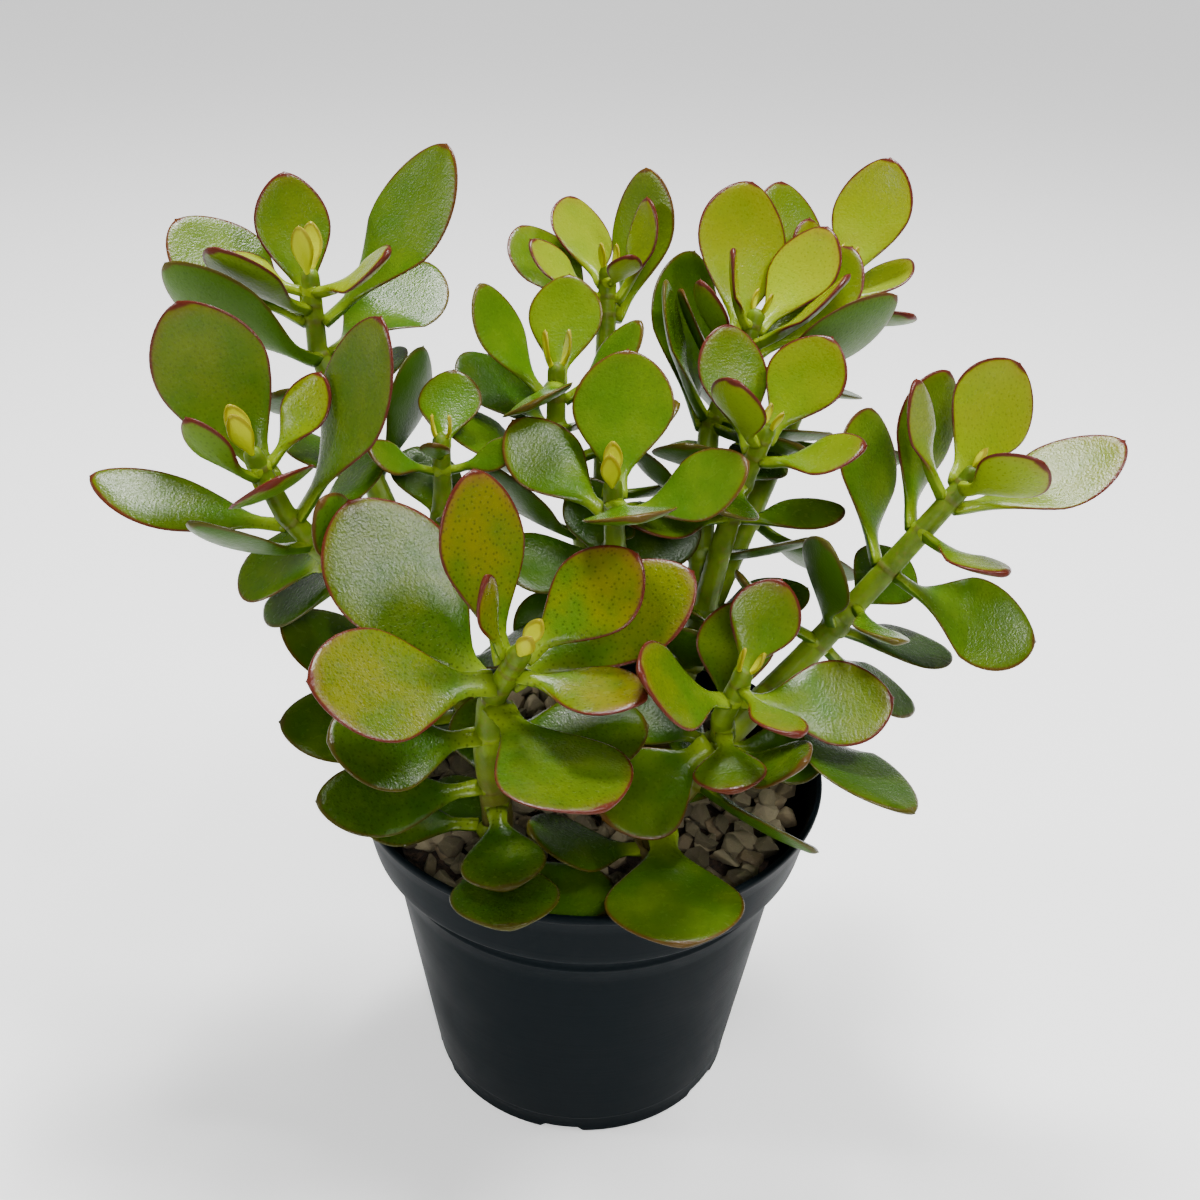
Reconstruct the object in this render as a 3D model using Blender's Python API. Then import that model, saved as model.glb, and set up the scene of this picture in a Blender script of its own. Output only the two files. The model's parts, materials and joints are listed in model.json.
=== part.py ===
"""A potted jade plant: a nursery pot, potting soil, gravel, five rooted stems and their leaf pairs.

Metres, +Z up. The origin is the centre of the pot's resting face and -Y is the front of the plant.
"""

import math

import bmesh
import bpy
from mathutils import Matrix, Vector
from mathutils.bvhtree import BVHTree

# ---- driving dimensions -------------------------------------------------------------------------
MM = 0.001
POT_RIM_DIAMETER = 0.130
POT_BASE_DIAMETER = 0.089
POT_HEIGHT = 0.099
POT_WALL = 0.0014
POT_FLOOR = 0.0016
COLLAR_HEIGHT = 0.019
COLLAR_STEP = 0.0042
COLLAR_TAPER = 0.0042
RIM_LIP = 0.0007
RIM_LIP_HEIGHT = 0.0022
RIM_ROUNDING = 0.0004
FOOT_HEIGHT = 0.0018
FOOT_RING_WIDTH = 0.003
FOOT_BAND = 0.0055
CENTRE_PAD_DIAMETER = 0.022
PAD_DRAFT = 0.0004
DRAIN_NOTCH_WIDTH = 0.0095
DRAIN_NOTCH_DEPTH = 0.006
DRAIN_NOTCH_ROOF = 0.0002
DRAIN_NOTCH_COUNT = 6
FIRST_NOTCH_TURN = -96
SOIL_BELOW_RIM = 0.016
GRAVEL_BELOW_RIM = 0.0095
GRAVEL_LUMP = 0.0022
GRAVEL_RINGS = 6
ROOT_DEPTH = 0.018
GAP = 0.0003
STEM_SIZE = 1.0
PLANT_SPREAD = 1.0
LEAF_SIZE = 1.0
LEAF_THICKNESS = 0.0034
LEAF_MARGIN = 0.0009
COLLAR_RING_HEIGHT = 0.0026
COLLAR_RING_WALL = 0.0011
LEAF_CLEARANCE = 0.0004
INNER_OVERLAP = 0.0008
FORK_OVERLAP = 0.9
TUBE_END_LENGTH = 0.6
TUBE_END_WIDTH = 0.7

POT_SIDES = 48
STEM_SIDES = 8
PATCH_HALF_ANGLE = 32.0
LEAF_STATIONS = (0.22, 0.46, 0.68, 0.85, 0.96)
INNER_STATIONS = (0.3, 0.62, 0.9)
BUD_STATIONS = (0.4, 0.8)
RING_POINTS = 32
LEAF_BASE_WIDTH = 0.2
LEAF_WIDEST = 1.42
LEAF_CUP = 0.07
LEAF_BASE_SWELL = 0.95
LEAF_END_SWELL = 0.58
LEAF_TEST_START = 0.12
BUD_RISE = 74
BUD_WIDTH = 0.42
BUD_SINK = 0.4
BUD_ROOT = 0.25

rim_radius = POT_RIM_DIAMETER / 2
base_radius = POT_BASE_DIAMETER / 2
collar_z = POT_HEIGHT - COLLAR_HEIGHT
collar_radius = rim_radius - COLLAR_TAPER
body_radius = collar_radius - COLLAR_STEP
gravel_z = POT_HEIGHT - GRAVEL_BELOW_RIM
soil_z = POT_HEIGHT - SOIL_BELOW_RIM

# ---- the branching ------------------------------------------------------------------------------
# Each branch: the branch it grows from, the rooted stem it belongs to, its radius at both ends in
# millimetres, and the points its middle runs through, in millimetres from the centre of the gravel.
BRANCHES = {
    "left": ("", "stem_left", 4.4, 3.6, [(-26, 2, 14), (-42, 4, 38)]),
    "left_top": ("left", "stem_left", 3.3, 1.9,
                 [(-54, 22, 66), (-70, 42, 92), (-78, 48, 110), (-79, 50, 130)]),
    "left_front": ("left", "stem_left", 3.2, 1.8,
                   [(-56, 0, 58), (-71, -3, 76), (-78, -5, 86), (-84, -6, 102)]),
    "left_centre": ("left", "stem_left", 2.8, 1.7, [(-42, 12, 60), (-41, 18, 82), (-41, 18, 97)]),
    "front": ("", "stem_front", 4.3, 2.0,
              [(-23, -33, 16), (-25, -37, 38), (-24, -40, 54), (-16, -47, 73)]),
    "back": ("", "stem_back", 4.4, 3.6, [(4, 18, 12), (1, 30, 45)]),
    "back_top": ("back", "stem_back", 3.3, 1.9, [(2, 50, 75), (1, 68, 102), (1, 76, 126)]),
    "back_centre": ("back", "stem_back", 3.0, 1.8, [(-6, 35, 72), (-12, 40, 94), (-12, 41, 109)]),
    "centre": ("back", "stem_back", 3.0, 1.8, [(5, 12, 62), (5, 2, 78), (4, 0, 94)]),
    "right": ("", "stem_right", 4.4, 3.6, [(20, 14, 12), (30, 24, 38)]),
    "right_top": ("right", "stem_right", 3.3, 1.9,
                  [(30, 36, 64), (31, 50, 88), (38, 58, 104), (43, 62, 119)]),
    "right_back": ("right", "stem_right", 3.1, 1.8, [(50, 56, 74), (64, 78, 102), (70, 86, 126)]),
    "right_centre": ("right", "stem_right", 3.0, 1.8, [(34, 24, 62), (38, 24, 82), (44, 22, 101)]),
    "right_low": ("", "stem_right_low", 4.2, 3.6, [(19, -31, 16), (32, -22, 30)]),
    "right_side": ("right_low", "stem_right_low", 3.4, 2.0,
                   [(56, 0, 44), (74, 5, 66), (90, 10, 86), (97, 12, 95)]),
    "right_front": ("right_low", "stem_right_low", 3.0, 1.8,
                    [(34, -27, 38), (33, -31, 46), (37, -33, 60)]),
}

# Each leaf pair: its branch, how many millimetres below the growing tip it sits, then both leaves as
# (turn round the stem, rise above square to the stem, length in mm, twist, width over length).
# Turn 0 is to the plant's right and 90 to its back. Opposite leaves share one collar.
PAIRS = {
    "left_top_1": ("left_top", 4, (325, 23, 33, 30, 0.5), (155, 20, 27, -20, 0.6)),
    "left_top_2": ("left_top", 8, (115, 60, 38, 0, 0.55), (235, 28, 38, 10, 0.5)),
    "left_top_3": ("left_top", 12, (18, 48, 59, 30, 0.5), (163, 33, 47, -25, 0.6)),
    "left_top_4": ("left_top", 21, (45, 18, 50, 45, 0.6), (235, 42, 50, 0, 0.5)),
    "left_front_1": ("left_front", 4, (38, 28, 28, 30, 0.5), (235, 62, 24, 15, 0.5)),
    "left_front_2": ("left_front", 8, (110, 68, 48, -20, 0.64), (295, 20, 30, 0, 0.75)),
    "left_front_3": ("left_front", 20, (19, 28, 57, 25, 0.5), (168, 40, 53, 0, 0.36)),
    "left_front_4": ("left_front", 36, (330, 30, 44, 0, 0.6), (150, 10, 38, 0, 0.7)),
    "left_centre_1": ("left_centre", 3, (88, 20, 28, 0, 0.62), (268, 30, 16, 0, 0.5)),
    "left_centre_2": ("left_centre", 8, (205, 25, 22, -30, 0.5), (0, 25, 22, 20, 0.55)),
    "left_1": ("left", 5, (172, 50, 48, -5, 0.6), (350, 0, 34, 0, 0.6)),
    "left_2": ("left", 16, (190, 30, 52, -20, 0.6), (75, 0, 34, 0, 0.6)),
    "back_top_1": ("back_top", 3, (117, 53, 36, 10, 0.6), (290, 20, 20, 0, 0.5)),
    "back_top_2": ("back_top", 7, (13, 53, 30, 20, 0.5), (194, 34, 27, -40, 0.5)),
    "back_top_3": ("back_top", 12, (42, 60, 44, 5, 0.55), (147, 39, 40, -20, 0.6)),
    "back_centre_1": ("back_centre", 4, (85, 43, 35, 0, 0.6), (268, 5, 28, 30, 0.75)),
    "back_centre_2": ("back_centre", 8, (155, 50, 37, -10, 0.5), (16, 41, 31, 15, 0.5)),
    "back_centre_3": ("back_centre", 26, (185, 35, 38, -20, 0.6), (350, 15, 36, 20, 0.6)),
    "centre_1": ("centre", 4, (83, 35, 42, 0, 0.64), (283, 24, 33, 0, 0.7)),
    "centre_2": ("centre", 9, (142, 27, 37, -10, 0.6), (0, 24, 37, 20, 0.58)),
    "front_1": ("front", 3, (48, 33, 38, -10, 0.6), (158, 50, 24, 0, 0.45)),
    "front_2": ("front", 7, (124, 36, 47, 0, 0.5), (343, 25, 33, -10, 0.6)),
    "front_3": ("front", 13, (38, 25, 55, -10, 0.5), (198, 2, 47, 0, 0.66)),
    "front_4": ("front", 19, (137, 8, 60, -10, 0.6), (303, 22, 45, 0, 0.75)),
    "front_5": ("front", 32, (205, 15, 41, -15, 0.65), (10, 0, 40, 0, 0.7)),
    "front_6": ("front", 50, (196, 11, 44, -12, 0.5), (20, 0, 36, 0, 0.6)),
    "front_7": ("front", 56, (280, 7, 33, 0, 0.64), (100, 10, 34, 0, 0.6)),
    "front_8": ("front", 65, (278, -6, 44, 0, 0.6), (180, -8, 38, -15, 0.5)),
    "right_top_1": ("right_top", 3, (68, 46, 37, 0, 0.62), (220, 45, 25, -45, 0.5)),
    "right_top_2": ("right_top", 7, (118, 58, 49, -5, 0.62), (325, 37, 34, 30, 0.5)),
    "right_top_3": ("right_top", 12, (38, 60, 47, 5, 0.6), (220, 20, 32, 0, 0.6)),
    "right_top_4": ("right_top", 18, (333, 45, 50, -5, 0.55), (160, 20, 38, 0, 0.6)),
    "right_top_5": ("right_top", 31, (185, 42, 41, -25, 0.5), (15, 15, 34, 0, 0.6)),
    "right_top_6": ("right_top", 35.5, (146, 58, 55, -20, 0.5), (315, 5, 32, 0, 0.6)),
    "right_back_1": ("right_back", 4, (66, 70, 42, -10, 0.6), (262, 30, 16, 0, 0.55)),
    "right_back_2": ("right_back", 9, (147, 57, 38, -20, 0.55), (30, 38, 29, 5, 0.6)),
    "right_back_3": ("right_back", 14, (156, 50, 46, -25, 0.55), (300, 10, 30, 0, 0.6)),
    "right_centre_1": ("right_centre", 3, (61, 47, 34, -10, 0.66), (216, 43, 28, 20, 0.6)),
    "right_centre_2": ("right_centre", 8, (118, 34, 38, -10, 0.56), (338, 34, 30, 15, 0.6)),
    "right_centre_3": ("right_centre", 28, (20, 8, 35, 0, 0.5), (205, 0, 34, 0, 0.6)),
    "right_side_1": ("right_side", 4, (106, 61, 38, 0, 0.74), (280, 36, 28, 5, 0.68)),
    "right_side_2": ("right_side", 9, (180, 32, 33, -35, 0.5), (12, 56, 48, 20, 0.5)),
    "right_side_3": ("right_side", 20, (133, 54, 45, -15, 0.5), (300, 12, 31, 30, 0.5)),
    "right_side_4": ("right_side", 33, (137, 39, 46, -20, 0.5), (3, 13, 46, 45, 0.6)),
    "right_side_5": ("right_side", 46, (70, 30, 34, 0, 0.6), (281, 7, 29, 25, 0.5)),
    "right_side_6": ("right_side", 60, (22, 2, 42, 20, 0.4), (200, 0, 34, 0, 0.6)),
    "right_side_7": ("right_side", 80, (338, -8, 54, 50, 0.5), (110, 10, 34, 0, 0.6)),
    "right_front_1": ("right_front", 3, (76, 44, 28, 10, 0.66), (293, 18, 27, 0, 0.5)),
    "right_front_2": ("right_front", 8, (7, 12, 41, 18, 0.6), (198, 25, 39, -20, 0.6)),
    "right_front_3": ("right_front", 18, (275, 14, 24, 0, 0.75), (80, 10, 34, 0, 0.6)),
    "right_front_4": ("right_front", 25, (325, 45, 30, 5, 0.6), (218, -12, 37, 5, 0.7)),
    "right_low_1": ("right_low", 24, (275, 2, 48, 0, 0.7), (60, 5, 34, 0, 0.6)),
}

# Small shaded pairs inside the crown, grown into their stem so that they are part of its piece.
INNER_PAIRS = {
    "left_top_a": ("left_top", 38, (60, 20, 34, 0, 0.6), (250, 20, 30, 0, 0.6)),
    "left_front_a": ("left_front", 52, (100, 20, 30, 0, 0.6), (280, 10, 30, 0, 0.6)),
    "left_centre_a": ("left_centre", 22, (110, 25, 34, 0, 0.6), (300, 15, 32, 0, 0.6)),
    "left_centre_b": ("left_centre", 38, (30, 20, 34, 0, 0.6), (200, 15, 32, 0, 0.6)),
    "back_top_b": ("back_top", 46, (80, 20, 36, 0, 0.6), (270, 20, 32, 0, 0.6)),
    "back_top_c": ("back_top", 64, (170, 15, 38, 0, 0.6), (0, 15, 36, 0, 0.6)),
    "centre_a": ("centre", 22, (200, 15, 32, 0, 0.6), (70, 15, 24, 0, 0.6)),
    "centre_b": ("centre", 36, (280, 10, 34, 0, 0.65), (110, 10, 28, 0, 0.6)),
    "right_top_a": ("right_top", 55, (60, 15, 36, 0, 0.6), (200, 30, 26, 0, 0.6)),
    "right_top_b": ("right_top", 70, (150, 10, 34, 0, 0.6), (330, 10, 34, 0, 0.6)),
    "right_back_a": ("right_back", 34, (70, 20, 36, 0, 0.6), (240, 20, 26, 0, 0.6)),
    "right_back_b": ("right_back", 54, (160, 15, 34, 0, 0.6), (340, 10, 36, 0, 0.6)),
    "right_centre_a": ("right_centre", 17, (250, 10, 30, 0, 0.6), (75, 15, 30, 0, 0.6)),
    "right_front_a": ("right_front", 32, (170, 10, 30, 0, 0.6), (20, 10, 30, 0, 0.6)),
    "right_a": ("right", 9, (265, 22, 36, 0, 0.62), (50, 0, 30, 0, 0.6)),
    "right_top_c": ("right_top", 45, (262, 14, 36, 0, 0.62), (95, 15, 34, 0, 0.6)),
    "right_centre_c": ("right_centre", 58, (230, 12, 36, 0, 0.62), (40, 10, 34, 0, 0.6)),
    "centre_c": ("centre", 47, (235, 8, 38, 0, 0.62), (45, 10, 34, 0, 0.6)),
    "back_a": ("back", 6, (285, 12, 40, 0, 0.62), (110, 15, 36, 0, 0.6)),
    "back_b": ("back", 20, (215, 15, 38, 0, 0.62), (30, 10, 38, 0, 0.6)),
    "left_a": ("left", 28, (320, 18, 38, 0, 0.62), (140, 10, 34, 0, 0.6)),
    "right_low_a": ("right_low", 9, (120, 25, 36, 0, 0.62), (340, 5, 38, 0, 0.6)),
    "right_low_b": ("right_low", 32, (200, 20, 38, 0, 0.62), (290, 25, 24, 0, 0.6)),
    "right_back_c": ("right_back", 80, (20, 0, 38, 0, 0.62), (210, 20, 28, 0, 0.6)),
    "left_top_b": ("left_top", 58, (340, 40, 38, 0, 0.62), (140, 50, 34, 0, 0.6)),
    "back_centre_a": ("back_centre", 17, (140, 40, 38, 0, 0.62), (320, 15, 24, 0, 0.6)),
    "back_centre_b": ("back_centre", 46, (220, 55, 38, 0, 0.62), (320, 0, 24, 0, 0.6)),
    "front_a": ("front", 72, (320, 0, 38, 0, 0.62), (120, 0, 34, 0, 0.6)),
    "right_side_a": ("right_side", 53, (20, 20, 38, 0, 0.62), (220, 30, 34, 0, 0.6)),
    "left_front_b": ("left_front", 27, (240, 55, 34, 0, 0.6), (60, 0, 34, 0, 0.6)),
    "left_front_c": ("left_front", 43, (160, 0, 36, 0, 0.6), (330, 10, 30, 0, 0.6)),
}

# Growing tips that carry a small folded bud: length of its two leaves in mm, and its turn.
BUDS = {
    "left_top": (15, 80),
    "left_front": (14, 110),
    "left_centre": (8, 0),
    "front": (11, 70),
    "back_top": (9, 30),
    "back_centre": (12, 20),
    "centre": (12, 85),
    "right_top": (8, 150),
    "right_back": (8, 150),
    "right_centre": (8, 130),
    "right_side": (8, 20),
    "right_front": (9, 0),
}


# ---- starting clean -----------------------------------------------------------------------------
for old in list(bpy.data.objects):
    bpy.data.objects.remove(old)


def material(name, colour, roughness):
    mat = bpy.data.materials.new(name)
    mat.use_nodes = True
    shader = mat.node_tree.nodes["Principled BSDF"]
    shader.inputs["Base Color"].default_value = (*colour, 1.0)
    shader.inputs["Roughness"].default_value = roughness
    return mat


pot_plastic = material("pot_plastic", (0.018, 0.026, 0.032), 0.5)
soil_mix = material("soil_mix", (0.045, 0.030, 0.020), 0.95)
gravel_stone = material("gravel_stone", (0.30, 0.25, 0.17), 0.9)
stem_skin = material("stem_skin", (0.28, 0.34, 0.06), 0.5)
leaf_skin = material("leaf_skin", (0.16, 0.30, 0.03), 0.35)


def add_object(name, verts, faces, mat, smooth=True):
    """One named object from points and faces, with its faces turned outwards."""
    mesh = bpy.data.meshes.new(name)
    mesh.from_pydata([tuple(v) for v in verts], [], faces)
    shape = bmesh.new()
    shape.from_mesh(mesh)
    bmesh.ops.recalc_face_normals(shape, faces=shape.faces)
    shape.to_mesh(mesh)
    shape.free()
    mesh.polygons.foreach_set("use_smooth", [smooth] * len(mesh.polygons))
    mesh.materials.append(mat)
    obj = bpy.data.objects.new(name, mesh)
    bpy.context.scene.collection.objects.link(obj)
    return obj


def hide_helper(obj):
    obj.hide_render = True
    obj.display_type = "WIRE"
    return obj


def boolean(obj, helper, operation):
    mod = obj.modifiers.new(operation.lower() + "_" + helper.name, "BOOLEAN")
    mod.operation = operation
    mod.solver = "EXACT"
    mod.object = helper
    return mod


def turned(profile):
    """Points and faces of (radius, height) steps turned round the upright axis, flat at both ends."""
    verts, faces = [], []
    for r, z in profile:
        start = len(verts)
        for k in range(POT_SIDES):
            angle = 2 * math.pi * k / POT_SIDES
            verts.append(Vector((r * math.cos(angle), r * math.sin(angle), z)))
        if start:
            for k in range(POT_SIDES):
                n = (k + 1) % POT_SIDES
                faces.append((start - POT_SIDES + k, start - POT_SIDES + n, start + n, start + k))
    faces.append(tuple(range(POT_SIDES))[::-1])
    faces.append(tuple(range(len(verts) - POT_SIDES, len(verts))))
    return verts, faces


# ---- the pot ------------------------------------------------------------------------------------
def outer_radius(z):
    """Outside radius of the tapered body below the collar."""
    foot = base_radius + RIM_LIP
    return foot + (body_radius - foot) * (z - FOOT_BAND) / (collar_z - FOOT_BAND)


def inner_radius(z):
    """Inside radius at a height: a wall inside the body, then inside the collar."""
    shoulder = collar_z + POT_WALL
    if z <= shoulder:
        return outer_radius(min(z, collar_z)) - POT_WALL
    return collar_radius - POT_WALL + COLLAR_TAPER * (z - collar_z) / COLLAR_HEIGHT


floor_z = FOOT_HEIGHT + POT_FLOOR
shoulder_z = collar_z + POT_WALL
pot_profile = [
    (CENTRE_PAD_DIAMETER / 2, 0.0),
    (CENTRE_PAD_DIAMETER / 2 + PAD_DRAFT, FOOT_HEIGHT),
    (base_radius - FOOT_RING_WIDTH - PAD_DRAFT, FOOT_HEIGHT),
    (base_radius - FOOT_RING_WIDTH, 0.0),
    (base_radius, 0.0),
    (base_radius, FOOT_BAND - RIM_ROUNDING),
    (outer_radius(FOOT_BAND), FOOT_BAND + RIM_ROUNDING),
    (body_radius, collar_z),
    (collar_radius, collar_z),
    (rim_radius - RIM_LIP, POT_HEIGHT - RIM_LIP_HEIGHT),
    (rim_radius, POT_HEIGHT - RIM_LIP_HEIGHT + RIM_LIP),
    (rim_radius, POT_HEIGHT - RIM_ROUNDING),
    (rim_radius - RIM_ROUNDING, POT_HEIGHT),
    (inner_radius(POT_HEIGHT), POT_HEIGHT),
    (inner_radius(shoulder_z + RIM_ROUNDING), shoulder_z + RIM_ROUNDING),
    (inner_radius(collar_z), shoulder_z),
    (inner_radius(floor_z), floor_z),
]
pot_verts, pot_faces = turned(pot_profile)
pot = add_object("pot", pot_verts, pot_faces, pot_plastic, smooth=False)
BOX_FACES = [(0, 1, 3, 2), (4, 6, 7, 5), (0, 4, 5, 1), (2, 3, 7, 6), (0, 2, 6, 4), (1, 5, 7, 3)]
for n in range(DRAIN_NOTCH_COUNT):
    turn = math.radians(FIRST_NOTCH_TURN + n * 360 / DRAIN_NOTCH_COUNT)
    half = Vector((DRAIN_NOTCH_DEPTH, DRAIN_NOTCH_WIDTH / 2, FOOT_HEIGHT - DRAIN_NOTCH_ROOF))
    signs = [(x, y, z) for z in (-1, 1) for y in (-1, 1) for x in (-1, 1)]
    place = Matrix.Rotation(turn, 4, "Z") @ Matrix.Translation((base_radius, 0, 0))
    corners = [place @ Vector((x * half.x, y * half.y, z * half.z)) for x, y, z in signs]
    notch = add_object("drain_notch_cutter_%d" % n, corners, BOX_FACES, pot_plastic)
    boolean(pot, hide_helper(notch), "DIFFERENCE")

# ---- soil and gravel ----------------------------------------------------------------------------
soil_floor = floor_z + GAP
soil_steps = [(inner_radius(soil_floor) - GAP, soil_floor)]
if soil_z > shoulder_z:
    soil_steps.append((inner_radius(collar_z) - GAP, shoulder_z))
soil_steps.append((inner_radius(min(soil_z, collar_z)) - GAP, soil_z))
soil_verts, soil_faces = turned(soil_steps)
soil = add_object("potting_soil", soil_verts, soil_faces, soil_mix)


def lump(x, y, ring):
    """The uneven top of the gravel: smooth swells about as wide as a stone, flat at the edge."""
    small = math.sin(x * 620 + 1.3) * math.cos(y * 540 + 0.4)
    large = math.sin(x * 290 - y * 330 + 2.1)
    return GRAVEL_LUMP * (0.35 * small + 0.3 * large) * min(1.0, ring)


gravel_low = soil_z + GAP
gravel_edge = inner_radius(gravel_low) - GAP
gravel_verts = [Vector((0, 0, gravel_low)), Vector((0, 0, gravel_z + lump(0, 0, 1)))]
gravel_faces = []
bottom_ring = []
for k in range(POT_SIDES):
    angle = 2 * math.pi * k / POT_SIDES
    bottom_ring.append(len(gravel_verts))
    gravel_verts.append(Vector((gravel_edge * math.cos(angle), gravel_edge * math.sin(angle), gravel_low)))
top_rings = []
for ring in range(1, GRAVEL_RINGS + 1):
    radius = gravel_edge * ring / GRAVEL_RINGS
    top_rings.append([])
    for k in range(POT_SIDES):
        angle = 2 * math.pi * k / POT_SIDES
        x = radius * math.cos(angle)
        y = radius * math.sin(angle)
        top_rings[-1].append(len(gravel_verts))
        gravel_verts.append(Vector((x, y, gravel_z + lump(x, y, GRAVEL_RINGS - ring))))
for k in range(POT_SIDES):
    n = (k + 1) % POT_SIDES
    gravel_faces.append((0, bottom_ring[n], bottom_ring[k]))
    gravel_faces.append((1, top_rings[0][k], top_rings[0][n]))
    for low, high in zip(top_rings[:-1], top_rings[1:]):
        gravel_faces.append((low[k], high[k], high[n], low[n]))
    gravel_faces.append((bottom_ring[k], bottom_ring[n], top_rings[-1][n], top_rings[-1][k]))
gravel = add_object("gravel", gravel_verts, gravel_faces, gravel_stone)

# ---- stems --------------------------------------------------------------------------------------
def layout(point):
    """A point given in mm above the gravel, in the object's metres."""
    x, y, z = point
    return Vector((x * MM * PLANT_SPREAD, y * MM * PLANT_SPREAD, gravel_z + z * MM * PLANT_SPREAD))


paths, radii = {}, {}
for name, (parent, _, start, end, points) in BRANCHES.items():
    path = [layout(p) for p in points]
    if parent:
        path.insert(0, paths[parent][-1].copy())
    else:
        foot = path[0].copy()
        foot.z = soil_z - ROOT_DEPTH
        path.insert(0, foot)
    paths[name] = path
    radii[name] = (start * MM * STEM_SIZE, end * MM * STEM_SIZE)


def side_frame(axis):
    """Two directions square to an axis: the first one lies towards the plant's right."""
    right = Vector((1, 0, 0)) - axis * axis.x
    right.normalize()
    return right, axis.cross(right)


def tube(path, start, end, rounded):
    """A closed tube along a path, tapering from one radius to the other."""
    lengths = [0.0]
    for a, b in zip(path[:-1], path[1:]):
        lengths.append(lengths[-1] + (b - a).length)
    rings = []
    for i, point in enumerate(path):
        before = (point - path[i - 1]).normalized() if i else None
        after = (path[i + 1] - point).normalized() if i + 1 < len(path) else None
        axis = (before + after).normalized() if before and after else (before or after)
        radius = start + (end - start) * lengths[i] / lengths[-1]
        rings.append((point, axis, radius))
    if rounded:
        point, axis, radius = rings[-1]
        rings.append((point + axis * radius * TUBE_END_LENGTH, axis, radius * TUBE_END_WIDTH))
    verts, faces = [], []
    for point, axis, radius in rings:
        right, across = side_frame(axis)
        for k in range(STEM_SIDES):
            angle = 2 * math.pi * k / STEM_SIDES
            verts.append(point + (right * math.cos(angle) + across * math.sin(angle)) * radius)
    for i in range(len(rings) - 1):
        for k in range(STEM_SIDES):
            n = (k + 1) % STEM_SIDES
            a = i * STEM_SIDES
            b = a + STEM_SIDES
            faces.append((a + k, a + n, b + n, b + k))
    faces.append(tuple(range(STEM_SIDES))[::-1])
    faces.append(tuple(range(len(verts) - STEM_SIDES, len(verts))))
    return verts, faces


# ---- leaves -------------------------------------------------------------------------------------
def outline(u):
    """Half width of a leaf along its length, over its greatest: a narrow base and a round end."""
    place = u ** LEAF_WIDEST
    swell = LEAF_END_SWELL if place > 0.5 else LEAF_BASE_SWELL
    return max(LEAF_BASE_WIDTH, math.sin(math.pi * place) ** swell)


def bow_of(rise):
    """How far a leaf's middle hangs below the straight line to its tip, over its length."""
    return 0.08 + 0.10 * max(0.0, rise - 30) / 40 if rise > -20 else -0.05


def leaf_frame(base, axis, root_radius, leaf, u):
    """Middle, width direction and upper face direction of a leaf at u from its base to its tip."""
    turn, rise, length, twist, _ = leaf
    right, across = side_frame(axis)
    out = right * math.cos(math.radians(turn)) + across * math.sin(math.radians(turn))
    width = axis.cross(out)
    angle = math.radians(rise)
    start = base + out * root_radius
    tip = base + (out * math.cos(angle) + axis * math.sin(angle)) * length
    upper = axis * math.cos(angle) - out * math.sin(angle)
    middle = (start + tip) / 2 - upper * bow_of(rise) * length
    point = start * (1 - u) ** 2 + middle * 2 * u * (1 - u) + tip * u * u
    along = (middle - start) * (1 - u) + (tip - middle) * u
    along.normalize()
    face = along.cross(width)
    roll = math.radians(twist) * min(1.0, u / 0.5)
    return (
        point,
        width * math.cos(roll) + face * math.sin(roll),
        face * math.cos(roll) - width * math.sin(roll),
    )


def leaf_section(base, axis, root_radius, leaf, u, grow=0.0):
    """Six points round a leaf: three on its upper face from left to right, then three below."""
    point, width, face = leaf_frame(base, axis, root_radius, leaf, u)
    length = leaf[2]
    half = length * leaf[4] / 2 * outline(u) + grow
    body = min(LEAF_THICKNESS, 0.09 * length + 0.0005) / 2 * (1 - 0.4 * u) + grow
    edge = LEAF_MARGIN / 2 + grow
    cup = LEAF_CUP * half
    return [
        point - width * half + face * (cup + edge),
        point + face * body,
        point + width * half + face * (cup + edge),
        point + width * half + face * (cup - edge),
        point - face * body,
        point - width * half + face * (cup - edge),
    ]


def leaf_shell(base, axis, root_radius, leaf, grow, stations, first):
    """A leaf as points and faces, starting from the six points given in first."""
    verts = list(first)
    faces = []
    for u in stations:
        verts += leaf_section(base, axis, root_radius, leaf, u, grow)
    tip = leaf_frame(base, axis, root_radius, leaf, 1.0)[0]
    for i in range(len(stations)):
        for k in range(6):
            n = (k + 1) % 6
            faces.append((i * 6 + k, i * 6 + n, i * 6 + 6 + n, i * 6 + 6 + k))
    last = len(stations) * 6
    verts.append(tip)
    for k in range(6):
        faces.append((last + k, last + (k + 1) % 6, last + 6))
    return verts, faces


def pair_seat(branch, below_tip):
    """Where a pair sits on its branch: middle, axis and stem radius, clear of the bends."""
    path = paths[branch]
    left = below_tip * MM * PLANT_SPREAD
    total = sum((b - a).length for a, b in zip(path[:-1], path[1:]))
    margin = COLLAR_RING_HEIGHT / 2 + 0.0006
    done = 0.0
    for a, b in reversed(list(zip(path[:-1], path[1:]))):
        span = (b - a).length
        if left <= span or a is path[0]:
            left = min(max(left, margin), span - margin)
            axis = (b - a).normalized()
            start, end = radii[branch]
            radius = end + (start - end) * min(1.0, (done + left) / total)
            return b - axis * left, axis, radius
        left -= span
        done += span


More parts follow.
